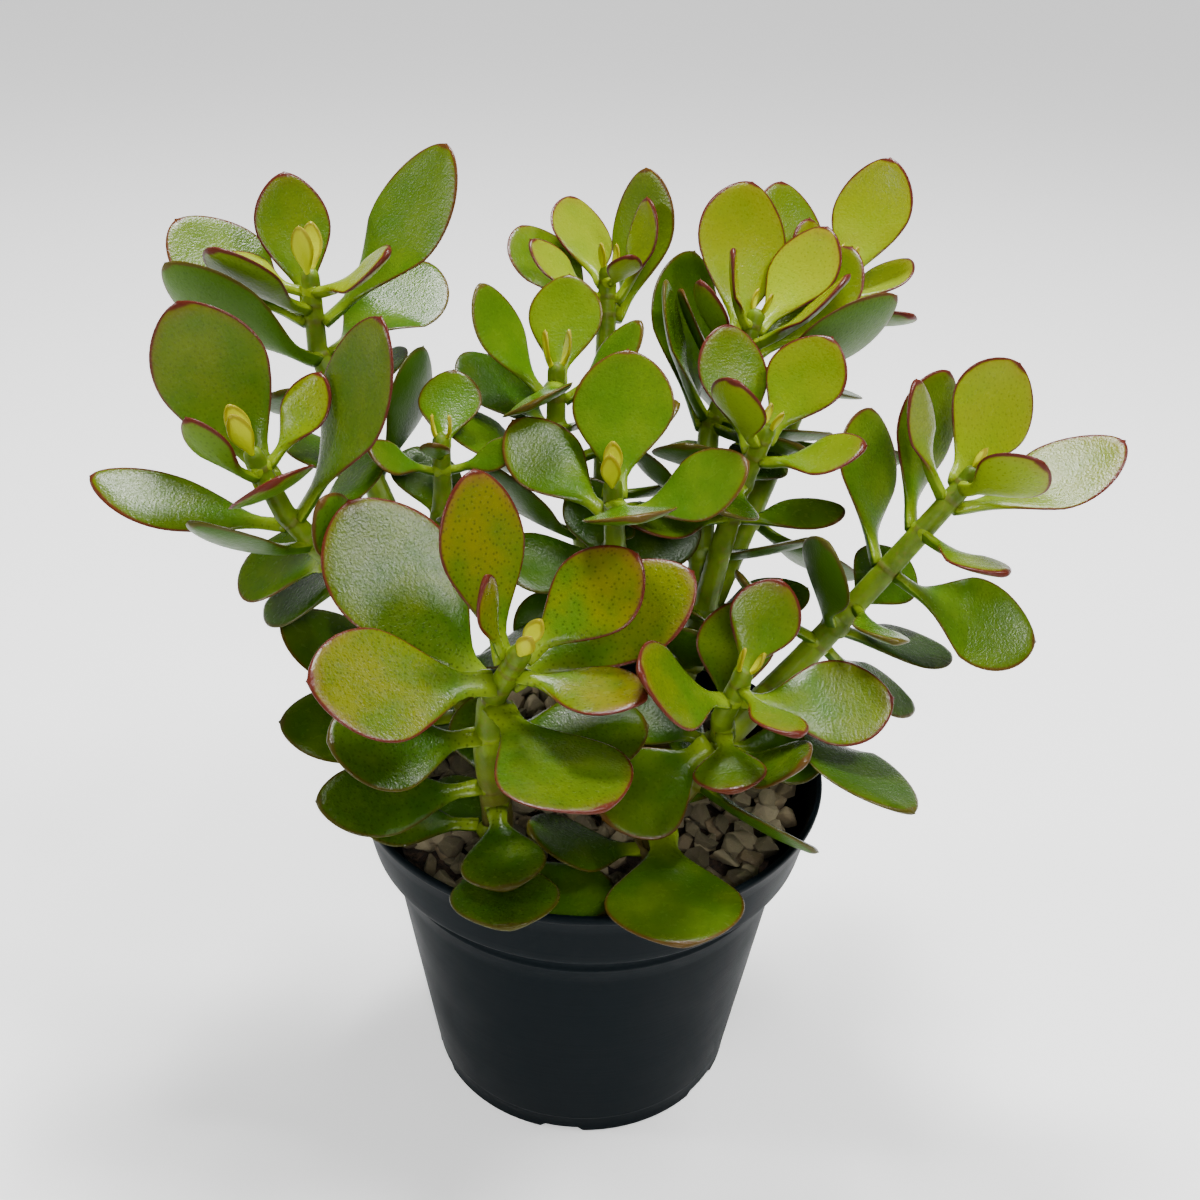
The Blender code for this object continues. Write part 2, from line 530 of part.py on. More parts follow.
def pair_mesh(seat, leaves, stations=LEAF_STATIONS, hold=GAP):
    """Two leaves joined by the collar that clasps the stem between them, hold away from it."""
    base, axis, stem_radius = seat
    right, across = side_frame(axis)
    turns = [leaf[0] for leaf in leaves]
    first_gap = (turns[1] - turns[0]) % 360 - 2 * PATCH_HALF_ANGLE
    second_gap = (turns[0] - turns[1]) % 360 - 2 * PATCH_HALF_ANGLE
    angles = []
    for turn, gap in ((turns[0], first_gap), (turns[1], second_gap)):
        for step in (-1, 0, 1):
            angles.append(turn + step * PATCH_HALF_ANGLE)
        angles.append(turn + PATCH_HALF_ANGLE + gap / 2)
    widest = max(PATCH_HALF_ANGLE, first_gap / 2, second_gap / 2)
    inner = (stem_radius + hold) / math.cos(math.radians(widest / 2))
    outer = inner + COLLAR_RING_WALL
    half = COLLAR_RING_HEIGHT / 2
    verts = []
    for angle in angles:
        out = right * math.cos(math.radians(angle)) + across * math.sin(math.radians(angle))
        verts.append(base + out * inner - axis * half)
        verts.append(base + out * inner + axis * half)
        verts.append(base + out * outer + axis * half)
        verts.append(base + out * outer - axis * half)
    faces = []
    count = len(angles)
    for k in range(count):
        n = (k + 1) % count
        for i in range(4):
            j = (i + 1) % 4
            if i == 2 and k % 4 < 2:
                continue
            faces.append((k * 4 + i, n * 4 + i, n * 4 + j, k * 4 + j))
    for number, leaf in enumerate(leaves):
        k = number * 4
        ring = [k * 4 + 2, (k + 1) * 4 + 2, (k + 2) * 4 + 2, (k + 2) * 4 + 3, (k + 1) * 4 + 3, k * 4 + 3]
        shell_verts, shell_faces = leaf_shell(
            base, axis, outer, leaf, 0.0, stations, [verts[i] for i in ring]
        )
        start = len(verts) - 6
        verts += shell_verts[6:]
        for face in shell_faces:
            faces.append(tuple(ring[i] if i < 6 else start + i for i in face))
    return verts, faces, outer


def bounds(verts):
    low = Vector([min(v[i] for v in verts) for i in range(3)])
    high = Vector([max(v[i] for v in verts) for i in range(3)])
    return low, high


def solid_of(verts, faces):
    """A shape to test against: its bounds and its surface."""
    return bounds(verts), BVHTree.FromPolygons([tuple(v) for v in verts], faces)


def meets(shape, others):
    (low, high), surface = shape
    for (other_low, other_high), other in others:
        if any(low[i] > other_high[i] or other_low[i] > high[i] for i in range(3)):
            continue
        if surface.overlap(other):
            return True
    return False


# A crowded leaf leans aside, then stays smaller, until it is clear of everything settled before it.
LEANS = sorted(
    [(turn, rise) for turn in range(-20, 21, 5) for rise in range(-16, 17, 4)],
    key=lambda lean: (abs(lean[0]) + abs(lean[1]) * 1.2, lean),
)
SIZES = (1.0, 0.95, 0.9, 0.84, 0.77, 0.7, 0.62, 0.54, 0.46, 0.38, 0.3, 0.22, 0.15)


def settle(seat, leaf, root_radius, stations, settled):
    """A leaf leaned or made smaller until nothing settled is in its way, and the space it takes."""
    turn, rise, length, twist, ratio = leaf
    length = length * MM * LEAF_SIZE
    base, axis, _ = seat
    for size in SIZES:
        for lean_turn, lean_rise in LEANS:
            tried = (turn + lean_turn, rise + lean_rise, length * size, twist, ratio)
            first = leaf_section(base, axis, root_radius, tried, LEAF_TEST_START, LEAF_CLEARANCE)
            verts, faces = leaf_shell(base, axis, root_radius, tried, LEAF_CLEARANCE, stations, first)
            shape = solid_of(verts, faces)
            if not meets(shape, settled):
                return tried, shape
    return tried, shape


def bud_room(name, length):
    """The space a folded bud takes at its growing tip: a slim six-sided spindle."""
    tip = paths[name][-1]
    axis = (tip - paths[name][-2]).normalized()
    reach = radii[name][1] + length * BUD_WIDTH / 4 * MM
    return tube([tip, tip + axis * length * MM], reach, reach, False)


settled = [solid_of(pot_verts, pot_faces), solid_of(gravel_verts, gravel_faces)]
tubes = {}
for name, path in paths.items():
    start, end = radii[name]
    tube_path = list(path)
    if BRANCHES[name][0]:
        tube_path[0] = path[0] - (path[1] - path[0]).normalized() * start * FORK_OVERLAP
    tubes[name] = tube(tube_path, start, end, True)
    settled.append(solid_of(*tubes[name]))

all_pairs = {**PAIRS, **INNER_PAIRS}
for name, (length, turn) in BUDS.items():
    settled.append(solid_of(*bud_room(name, length * LEAF_SIZE)))

seats = {name: pair_seat(row[0], row[1]) for name, row in all_pairs.items()}
collars = {}
for name, row in all_pairs.items():
    hold = -INNER_OVERLAP if name in INNER_PAIRS else GAP
    verts, faces, outer = pair_mesh(seats[name], row[2:], LEAF_STATIONS, hold)
    collars[name] = outer
    ring_faces = [f for f in faces if max(f) < RING_POINTS]
    settled.append(solid_of(verts[:RING_POINTS], ring_faces))

# Outer leaves settle before inner ones and long leaves before short ones, as the smaller give way.
final = {name: [None, None] for name in all_pairs}
order = []
for name, row in all_pairs.items():
    for side in (0, 1):
        order.append((name in INNER_PAIRS, -row[2 + side][2], name, side))
for _, _, name, side in sorted(order):
    stations = INNER_STATIONS if name in INNER_PAIRS else LEAF_STATIONS
    leaf, shape = settle(seats[name], all_pairs[name][2 + side], collars[name], stations, settled)
    settled.append(shape)
    final[name][side] = leaf

for name in PAIRS:
    verts, faces, _ = pair_mesh(seats[name], final[name])
    add_object("leaf_pair_" + name, verts, faces, leaf_skin)

# ---- joining each rooted stem and cutting its socket --------------------------------------------
stems = {}
for name, (parent, stem, _, _, _) in BRANCHES.items():
    verts, faces = tubes[name]
    if not parent:
        stems[stem] = add_object(stem, verts, faces, stem_skin)
        foot = paths[name][0]
        reach = radii[name][0] + GAP
        top = gravel_z + GRAVEL_LUMP * 2
        shaft = [foot - Vector((0, 0, GAP)), Vector((foot.x, foot.y, top))]
        shaft_verts, shaft_faces = tube(shaft, reach, reach, False)
        shaft_obj = hide_helper(add_object("socket_cutter_" + name, shaft_verts, shaft_faces, soil_mix))
        boolean(soil, shaft_obj, "DIFFERENCE")
        boolean(gravel, shaft_obj, "DIFFERENCE")
    else:
        piece = hide_helper(add_object("branch_" + name, verts, faces, stem_skin))
        boolean(stems[stem], piece, "UNION")
for name, (length, turn) in BUDS.items():
    stem = BRANCHES[name][1]
    tip = paths[name][-1]
    axis = (tip - paths[name][-2]).normalized()
    for side in (0, 180):
        leaf = (turn + side, BUD_RISE, length * MM * LEAF_SIZE, 0, BUD_WIDTH)
        root = tip - axis * radii[name][1] * BUD_SINK
        root_radius = radii[name][1] * BUD_ROOT
        first = leaf_section(root, axis, root_radius, leaf, 0.0)
        verts, faces = leaf_shell(root, axis, root_radius, leaf, 0.0, BUD_STATIONS, first)
        faces.append(tuple(range(6))[::-1])
        piece = hide_helper(add_object("bud_%s_%d" % (name, side), verts, faces, stem_skin))
        boolean(stems[stem], piece, "UNION")
for name, row in INNER_PAIRS.items():
    stem = BRANCHES[row[0]][1]
    verts, faces, _ = pair_mesh(seats[name], final[name], INNER_STATIONS, -INNER_OVERLAP)
    piece = hide_helper(add_object("inner_pair_" + name, verts, faces, stem_skin))
    boolean(stems[stem], piece, "UNION")
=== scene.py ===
# %% [markdown]
# # A potted jade plant
#
# This lesson rebuilds a young jade plant as a finished visual model.
# A plain solid model of the same plant gives every place and size.
# We measure each plain leaf, then grow a smooth one in exactly the same place.
# Everything is in metres, +Z is up and the front of the plant faces -Y.

# %% Load the plain model
import json
import math
import random

import bmesh
import bpy
import numpy as np
from mathutils import Matrix, Vector
from mathutils.bvhtree import BVHTree
from mathutils.kdtree import KDTree

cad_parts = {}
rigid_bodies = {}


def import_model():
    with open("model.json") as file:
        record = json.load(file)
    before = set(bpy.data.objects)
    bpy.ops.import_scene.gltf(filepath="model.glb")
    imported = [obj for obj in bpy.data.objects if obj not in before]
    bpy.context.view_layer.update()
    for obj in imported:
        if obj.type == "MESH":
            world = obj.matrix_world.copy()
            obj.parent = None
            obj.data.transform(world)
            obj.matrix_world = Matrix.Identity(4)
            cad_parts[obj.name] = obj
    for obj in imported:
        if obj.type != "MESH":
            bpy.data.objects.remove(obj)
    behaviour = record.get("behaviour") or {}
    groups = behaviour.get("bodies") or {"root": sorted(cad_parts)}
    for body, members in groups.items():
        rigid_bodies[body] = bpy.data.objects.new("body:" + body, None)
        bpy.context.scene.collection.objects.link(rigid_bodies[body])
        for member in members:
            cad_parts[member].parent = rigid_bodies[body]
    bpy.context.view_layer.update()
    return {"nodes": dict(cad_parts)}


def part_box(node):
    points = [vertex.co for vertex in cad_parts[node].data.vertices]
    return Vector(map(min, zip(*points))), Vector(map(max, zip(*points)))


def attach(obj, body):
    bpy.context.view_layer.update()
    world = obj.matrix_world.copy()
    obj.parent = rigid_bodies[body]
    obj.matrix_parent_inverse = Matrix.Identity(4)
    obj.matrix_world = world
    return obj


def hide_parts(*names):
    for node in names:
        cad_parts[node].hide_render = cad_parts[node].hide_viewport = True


for old in list(bpy.data.objects):
    bpy.data.objects.remove(old)
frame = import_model()
nodes = frame["nodes"]
MM = 0.001

# %% [markdown]
# ## Colours and node helpers
#
# Colours are easier to pick as the 0 to 255 values of a paint program.
# Blender's shaders want linear light, so a helper converts them.
# A second helper adds a shader node and links or fills its inputs in one go.

# %% Colour and node helpers
def paint(red, green, blue):
    """A paint program's colour as linear light."""
    out = []
    for value in (red, green, blue):
        value /= 255
        out.append(value / 12.92 if value <= 0.04045 else ((value + 0.055) / 1.055) ** 2.4)
    return (*out, 1.0)


class Shader:
    """A material's node tree with short ways to add nodes."""

    def __init__(self, name):
        self.material = bpy.data.materials.new(name)
        self.material.use_nodes = True
        self.nodes = self.material.node_tree.nodes
        self.links = self.material.node_tree.links
        self.skin = self.nodes["Principled BSDF"]

    def put(self, socket, value):
        if isinstance(value, bpy.types.NodeSocket):
            self.links.new(value, socket)
        else:
            socket.default_value = value

    def add(self, kind, inputs=None, **settings):
        node = self.nodes.new(kind)
        for key, value in settings.items():
            setattr(node, key, value)
        for key, value in (inputs or {}).items():
            self.put(node.inputs[key], value)
        return node

    def math(self, operation, a, b):
        return self.add("ShaderNodeMath", {0: a, 1: b}, operation=operation).outputs[0]

    def times(self, a, b):
        return self.math("MULTIPLY", a, b)

    def sum(self, a, b):
        return self.math("ADD", a, b)

    def ramp(self, value, low, high, out_low=0.0, out_high=1.0):
        """A smooth step from out_low to out_high while value goes from low to high."""
        inputs = {"Value": value, "From Min": low, "From Max": high,
                  "To Min": out_low, "To Max": out_high}
        node = self.add("ShaderNodeMapRange", inputs, interpolation_type="SMOOTHSTEP")
        return node.outputs["Result"]

    def mix(self, amount, a, b):
        """Colour a with the given amount of colour b laid over it."""
        node = self.add("ShaderNodeMix", data_type="RGBA")
        self.put(node.inputs["Factor"], amount)
        self.put(node.inputs[6], a)
        self.put(node.inputs[7], b)
        return node.outputs[2]

    def noise(self, place, scale, detail=2.0, roughness=0.5):
        inputs = {"Vector": place, "Scale": scale, "Detail": detail, "Roughness": roughness}
        return self.add("ShaderNodeTexNoise", inputs).outputs["Fac"]

    def read(self, name, part="Fac"):
        return self.add("ShaderNodeAttribute", attribute_name=name).outputs[part]

    def bump(self, height, distance, strength=1.0, under=None):
        inputs = {"Height": height, "Distance": distance, "Strength": strength}
        if under is not None:
            inputs["Normal"] = under
        return self.add("ShaderNodeBump", inputs).outputs["Normal"]


# %% [markdown]
# ## Measuring the plain leaves
#
# Each plain leaf ends in a single point with rows of six points behind it.
# Walking from that point along the edges meets one row after the other.
# The middles of the rows lie on a smooth curve, which we solve for.
# The cupped side of the rows tells us which face of the leaf looks up.

# %% Rows of points behind a leaf's tip
LEAF_ROWS = (0.96, 0.85, 0.68, 0.46, 0.22)  # how far along a leaf each row lies, tip first
INNER_ROWS = (0.9, 0.62, 0.3)
BUD_ROWS = (0.8, 0.4)
WELD = 0.02 * MM
LEAF_SWEEP = 1.42  # above 1 moves the widest place towards the tip
TIP_ROUNDING = 0.58
BASE_ROUNDING = 0.95
STALK_WIDTH = 0.2  # over the greatest width
TWIST_REACH = 0.5  # the twist grows up to here along the leaf


def welded(node):
    """A node's surface with the points that lie together made one."""
    shape = bmesh.new()
    shape.from_mesh(nodes[node].data)
    bmesh.ops.remove_doubles(shape, verts=shape.verts, dist=WELD)
    shape.verts.index_update()
    return shape


def rows_behind(tip, count):
    """The rows of six met on the way from a tip to its leaf's base, or None if it isn't a tip."""
    seen, row, rows = {tip}, {tip}, []
    for _ in range(count):
        row = {edge.other_vert(v) for v in row for edge in v.link_edges} - seen
        if len(row) != 6:
            return None
        if any(sum(edge.other_vert(v) in row for edge in v.link_edges) < 2 for v in row):
            return None
        seen |= row
        rows.append(sorted(row, key=lambda v: v.index))
    return rows


def row_facts(row):
    """Middle, width vector and cup of a row: its two short edges are the leaf's margins."""
    around = [row[0]]
    while len(around) < 6:
        near = [e.other_vert(around[-1]) for e in around[-1].link_edges]
        steps = [v for v in near if v in row and v not in around]
        steps.sort(key=lambda v: sum(e.other_vert(v) in row for e in v.link_edges))
        around.append(steps[0])
    points = [v.co.copy() for v in around]
    best = min(range(3), key=lambda i: (points[i] - points[(i + 1) % 6]).length
               + (points[i + 3] - points[(i + 4) % 6]).length)
    left = (points[best] + points[(best + 1) % 6]) / 2
    right = (points[best + 3] + points[(best + 4) % 6]) / 2
    upper, lower = points[(best + 2) % 6], points[(best + 5) % 6]
    middle = (upper + lower) / 2
    return middle, right - left, (left + right) / 2 - middle, (upper - lower).length


def blade(u):
    """Half width of a leaf's blade along its length, over its greatest."""
    place = u ** LEAF_SWEEP
    return math.sin(math.pi * min(place, 1.0)) ** (TIP_ROUNDING if place > 0.5 else BASE_ROUNDING)


def measure_leaf(tip, rows, stations):
    """The curve, half width, thickness and twist of a plain leaf."""
    facts = [row_facts(row) for row in rows]
    places = [1.0] + list(stations)
    middles = [tip.co.copy()] + [fact[0] for fact in facts]
    weights = np.array([[(1 - u) ** 2, 2 * u * (1 - u), u * u] for u in places])
    curve = np.linalg.lstsq(weights, np.array([list(m) for m in middles]), rcond=None)[0]
    start, middle, end = (Vector(p) for p in curve)
    half = max(fact[1].length / 2 / max(STALK_WIDTH, blade(u)) for fact, u in zip(facts, stations))
    thick = max(fact[3] for fact in facts)
    width = (middle - start).cross(end - start).normalized()
    widest = max(range(len(facts)), key=lambda i: facts[i][1].length)
    u = stations[widest]
    along = ((middle - start) * (1 - u) + (end - middle) * u).normalized()
    across = facts[widest][1].normalized()
    upper = along.cross(across)
    if upper.dot(facts[widest][2]) < 0:
        across, upper = -across, -upper
    if across.dot(width) < 0:
        width = -width
    face = along.cross(width)
    twist = math.atan2(across.dot(face), across.dot(width))
    twist /= min(1.0, u / TWIST_REACH)
    return {"start": start, "middle": middle, "tip": end, "half": half, "thick": thick,
            "width": width, "twist": twist, "length": (end - start).length}


# %% [markdown]
# ## Measuring every pair
#
# Two leaves and the collar that joins them make one plain piece.
# The points that belong to neither leaf are the collar's, and they give its middle, axis and radius.

# %% Measure every leaf
pairs = {}
for name in sorted(n for n in nodes if n.startswith("leaf_pair_")):
    shape = welded(name)
    leaves, used = [], set()
    for v in shape.verts:
        rows = rows_behind(v, len(LEAF_ROWS))
        if rows:
            leaves.append(measure_leaf(v, rows, LEAF_ROWS))
            used |= {v} | {w for row in rows for w in row}
    ring = [v.co.copy() for v in shape.verts if v not in used]
    centre = sum(ring, Vector()) / len(ring)
    spread = np.linalg.svd(np.array([list(p - centre) for p in ring]))[2]
    axis = Vector(spread[2])
    pairs[name] = {"leaves": leaves, "centre": centre, "axis": axis if axis.z > 0 else -axis,
                   "radius": min((p - centre - axis * (p - centre).dot(axis)).length for p in ring)}
    shape.free()
print(len(pairs), "pairs,", sum(len(p["leaves"]) for p in pairs.values()), "leaves")

# %% [markdown]
# ## Measuring the stems
#
# The stems carry small shaded leaves and folded buds in the same solid.
# We measure those leaves in the same way, cut them off and close the openings.
# What is left is a bare stem that can be remeshed to a smooth skin.
# A bud's rows are evenly spaced, while the last row of a leaf crowds its tip.

# %% Bare stems, shaded leaves and buds
CROWDED_TIP = 0.43  # the tip's gap over the next one, below which it is a leaf


def close_openings(shape):
    """Every opening gets a fan of triangles from a new point at its middle."""
    rims = [edge for edge in shape.edges if edge.is_boundary]
    waiting = set(rims)
    for first in rims:
        if first not in waiting:
            continue
        waiting.discard(first)
        opening = [first]
        for edge in opening:
            for other in [other for v in edge.verts for other in v.link_edges]:
                if other in waiting:
                    waiting.discard(other)
                    opening.append(other)
        ends = [v.co for edge in opening for v in edge.verts]
        middle = shape.verts.new(sum(ends, Vector()) / len(ends))
        for edge in opening:
            shape.faces.new((*edge.verts, middle))
    bmesh.ops.recalc_face_normals(shape, faces=shape.faces)


stem_names = sorted(n for n in nodes if n.startswith("stem_"))
shaded, buds, bare = {}, {}, {}
for name in stem_names:
    shape = welded(name)
    shaded[name], buds[name] = [], []
    gone = set()
    for v in list(shape.verts):
        rows = rows_behind(v, len(BUD_ROWS))
        if not rows or v in gone:
            continue
        first = sum((w.co for w in rows[0]), Vector()) / 6
        second = sum((w.co for w in rows[1]), Vector()) / 6
        if (v.co - first).length < CROWDED_TIP * (first - second).length:
            rows = rows_behind(v, len(INNER_ROWS))
            if not rows:
                continue
            shaded[name].append(measure_leaf(v, rows, INNER_ROWS))
        else:
            buds[name].append(measure_leaf(v, rows, BUD_ROWS))
        gone |= {v} | {w for row in rows for w in row}
    bmesh.ops.delete(shape, geom=list(gone), context="VERTS")
    close_openings(shape)
    bare[name] = bpy.data.meshes.new("bare_" + name)
    shape.to_mesh(bare[name])
    shape.free()
    print(name, len(shaded[name]), "shaded leaves,", len(buds[name]), "bud leaves")

# %% [markdown]
# ## Growing a smooth leaf
#
# A jade leaf is narrow where it leaves the stem, widest past its middle and round at the end.
# Its two faces swell from a thin margin to a thick middle, and the whole leaf is slightly cupped.
# We loft that section along the measured curve and store facts at each point for the shader:
# how far it is from the margin, how far along the leaf it is and which face it is on.

# %% Grow a leaf
ROWS = 30
AROUND = 32
MARGIN = 0.42 * MM
FULLNESS = 0.53  # half thickness of the smooth leaf, over the plain leaf's thickness
THINNING = 0.33  # how much of it is lost towards the tip
LAST_ROW = 0.9985
APART = 0.043  # moves each leaf to its own part of the noise patterns


def tube_faces(rings, around):
    """The faces between neighbouring rings of points."""
    faces = []
    for start in range(0, (rings - 1) * around, around):
        for k in range(around):
            n = (k + 1) % around
            faces.append((start + k, start + n, start + around + n, start + around + k))
    return faces


def curve_at(leaf, u):
    """Point, direction, width and face of the leaf at u, with its twist."""
    start, middle, tip = leaf["start"], leaf["middle"], leaf["tip"]
    point = start * (1 - u) ** 2 + middle * 2 * u * (1 - u) + tip * u * u
    along = ((middle - start) * (1 - u) + (tip - middle) * u).normalized()
    roll = leaf["twist"] * min(1.0, u / TWIST_REACH)
    face = along.cross(leaf["width"])
    width = leaf["width"] * math.cos(roll) + face * math.sin(roll)
    return point, along, width, along.cross(width)


def grow_leaf(leaf, look, number, root=2.0 * MM):
    """Points, faces and the facts at each point of a smooth leaf."""
    chance = random.Random(number)
    skew = chance.uniform(-0.05, 0.05)
    wave, phase = chance.uniform(0.004, 0.018), chance.uniform(0, 6.28)
    cup = chance.uniform(0.05, 0.11) * (1.25 - 0.5 * look["age"])
    swell = chance.uniform(0.25, 0.6)
    bend = chance.uniform(-0.35, 0.35) * MM
    places = [-1.0] + [1 - (1 - i / ROWS) ** 1.7 for i in range(ROWS)] + [LAST_ROW]
    verts, place, facts = [], [], []
    for u in places:
        point, along, width, face = curve_at(leaf, max(u, 0.0))
        if u < 0:
            point = point - along * root
            u = 0.0
        size, thin = blade(u), MARGIN
        body = leaf["thick"] * FULLNESS * (1 - THINNING * u)
        if u < 0.5:
            stalk = STALK_WIDTH + 0.05 * math.exp(-(u / 0.06) ** 2)
            size = (size ** 4 + stalk ** 4) ** 0.25
        elif u > 0.5:
            body *= min(1.0, (size / 0.42)) ** 0.55
            thin *= min(1.0, size / 0.25)
        half = leaf["half"] * size * (1 + wave * math.sin(9 * u + phase))
        sag = bend * math.sin(math.pi * u)
        for k in range(AROUND):
            angle = 2 * math.pi * k / AROUND
            side, lift = math.cos(angle), math.sin(angle)
            s = math.copysign(abs(side) ** 0.8, side)
            flat = max(0.0, 1 - s * s)
            tall = thin + max(0.0, body - thin) * flat ** (0.62 if lift > 0 else 0.8)
            height = tall * math.copysign(abs(lift) ** 0.62, lift) if lift else 0.0
            height += cup * half * abs(s) ** 1.7 + sag
            height += swell * 0.25 * MM * math.sin(7 * u + 2.5 * s + phase) * flat * min(1.0, 4 * u)
            across = half * (s + skew * flat)
            verts.append(point + width * across + face * height)
            place.append((across + number * APART, u * leaf["length"], 0.0))
            gap = min((1 - abs(s)) * half, (1 - u) * leaf["length"] * 0.9) / MM
            facts.append((gap, u, lift))
    faces = tube_faces(len(places), AROUND)
    end = curve_at(leaf, 1.0)
    verts.append(end[0] + end[1] * chance.choice((0.1, 0.25, 0.5)) * MM)
    place.append((number * APART, leaf["length"], 0.0))
    facts.append((0.0, 1.0, 0.0))
    last = (len(places) - 1) * AROUND
    for k in range(AROUND):
        faces.append((last + k, last + (k + 1) % AROUND, last + AROUND))
    faces.append(tuple(range(AROUND))[::-1])
    return verts, faces, place, facts


# %% [markdown]
# ## Growing a joint
#
# Where a pair of leaves meets the stem, the bark swells into a short ringed sleeve.
# Each step of the sleeve is a height in millimetres and how far it stands out there.

# %% Grow a joint
JOINT_STEPS = ((-3.2, -0.3), (-2.3, 0.15), (-1.3, 0.6), (-0.4, 0.85),
               (0.4, 0.85), (1.2, 0.55), (2.0, 0.1), (2.8, -0.3))


def grow_joint(pair, number):
    """The short sleeve where a pair of leaves clasps its stem, swollen towards each leaf."""
    axis, centre = pair["axis"], pair["centre"]
    right = axis.orthogonal().normalized()
    across = axis.cross(right)
    outs = [(leaf["start"] - centre).normalized() for leaf in pair["leaves"]]
    stem_radius = pair["radius"] * 0.87 - 0.3 * MM
    verts, place, facts = [], [], []
    for height, swell in JOINT_STEPS:
        for k in range(AROUND):
            angle = 2 * math.pi * k / AROUND
            out = right * math.cos(angle) + across * math.sin(angle)
            toward = max(max(0.0, out.dot(o)) ** 3 for o in outs)
            radius = stem_radius + swell * (0.55 + 1.1 * toward) * MM
            verts.append(centre + axis * height * MM + out * radius)
            place.append((angle * 0.002, height * MM, number * 0.013))
            facts.append((6.0, 0.0, 0.4))
    return verts, tube_faces(len(JOINT_STEPS), AROUND), place, facts


# %% [markdown]
# ## One mesh from several grown shapes
#
# A pair is two leaves and their joint in one mesh.
# The looks of a leaf, such as its age and how much sun it had, go in as attributes too.
# One material can then paint every leaf of the plant differently.

# %% Meshes with attributes
LOOKS = ("age", "sun", "blush", "dots", "tone")
FACTS = ("gap", "along", "upper")


def build_piece(name, grown, material):
    """An object from (verts, faces, place, facts, look) shapes."""
    verts, faces, place, facts, looks = [], [], [], [], []
    for shape_verts, shape_faces, shape_place, shape_facts, look in grown:
        start = len(verts)
        verts += [tuple(v) for v in shape_verts]
        faces += [tuple(start + i for i in face) for face in shape_faces]
        place += shape_place
        facts += shape_facts
        looks += [tuple(look[key] for key in LOOKS)] * len(shape_verts)
    mesh = bpy.data.meshes.new(name)
    mesh.from_pydata(verts, [], faces)
    mesh.update()
    shape = bmesh.new()
    shape.from_mesh(mesh)
    bmesh.ops.recalc_face_normals(shape, faces=shape.faces)
    shape.to_mesh(mesh)
    shape.free()
    mesh.polygons.foreach_set("use_smooth", [True] * len(mesh.polygons))
    spot = mesh.attributes.new("place", "FLOAT_VECTOR", "POINT")
    spot.data.foreach_set("vector", np.array(place, dtype=np.float32).ravel())
    for names, rows in ((FACTS, facts), (LOOKS, looks)):
        table = np.array(rows, dtype=np.float32)
        for column, key in enumerate(names):
            layer = mesh.attributes.new(key, "FLOAT", "POINT")
            layer.data.foreach_set("value", table[:, column].copy())
    mesh.materials.append(material)
    obj = bpy.data.objects.new(name, mesh)
    bpy.context.scene.collection.objects.link(obj)
    return obj


def belongs(obj, node):
    """The piece rides on the plant and stands for a node, whose plain part is hidden."""
    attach(obj, "root")
    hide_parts(node)


# %% [markdown]
# ## The leaf's skin
#
# Young leaves are yellow-green and old ones a deep green.
# Sun turns a leaf olive, with a red margin and a rosy blush towards its end.
# Tiny dark dots cover the upper face, and the lower face is paler and duller.
# A fine orange-peel bump breaks up the waxy shine.

# %% Leaf colours
BUD_YELLOW = (0.62, 0.64, 0.0, 1.0)
YOUNG_LEAF = (0.27, 0.35, 0.0, 1.0)
GROWN_LEAF = (0.052, 0.125, 0.0, 1.0)
OLD_LEAF = (0.014, 0.046, 0.0, 1.0)
COOL_LEAF = (0.02, 0.08, 0.003, 1.0)
PALE_PATCH = (0.20, 0.28, 0.01, 1.0)
DARK_PATCH = (0.02, 0.055, 0.0, 1.0)
SUN_OLIVE = (0.17, 0.11, 0.0, 1.0)
LEAF_STALK = (0.2, 0.27, 0.01, 1.0)
UNDERSIDE = (0.05, 0.10, 0.006, 1.0)
LEAF_DOT = (0.008, 0.014, 0.0, 1.0)
LEAF_BLUSH = (0.17, 0.03, 0.02, 1.0)
RED_RIM = (0.075, 0.012, 0.006, 1.0)
BROWN_RIM = (0.05, 0.024, 0.004, 1.0)
DOT_SCALE = 560.0  # dots to the metre


def leaf_greens(m, broad):
    """The green of both faces, by age, sun and chance."""
    age, sun, tone, along = m.read("age"), m.read("sun"), m.read("tone"), m.read("along")
    green = m.mix(m.ramp(age, -1.0, 0.0), BUD_YELLOW, YOUNG_LEAF)
    green = m.mix(m.ramp(age, 0.0, 0.4), green, GROWN_LEAF)
    green = m.mix(m.ramp(age, 0.4, 1.0), green, OLD_LEAF)
    green = m.mix(m.times(tone, 0.25), green, COOL_LEAF)
    lit = m.mix(m.times(m.ramp(broad, 0.4, 0.8), 0.14), green, PALE_PATCH)
    lit = m.mix(m.times(m.ramp(broad, 0.6, 0.25), 0.18), lit, DARK_PATCH)
    olive = m.times(sun, m.ramp(m.sum(broad, m.times(along, 0.5)), 0.4, 1.0))
    lit = m.mix(m.times(olive, 0.62), lit, SUN_OLIVE)
    lit = m.mix(m.times(m.ramp(along, 0.24, 0.0), 0.6), lit, LEAF_STALK)
    return m.mix(m.ramp(m.read("upper"), 0.05, -0.3), lit, m.mix(0.3, green, UNDERSIDE))


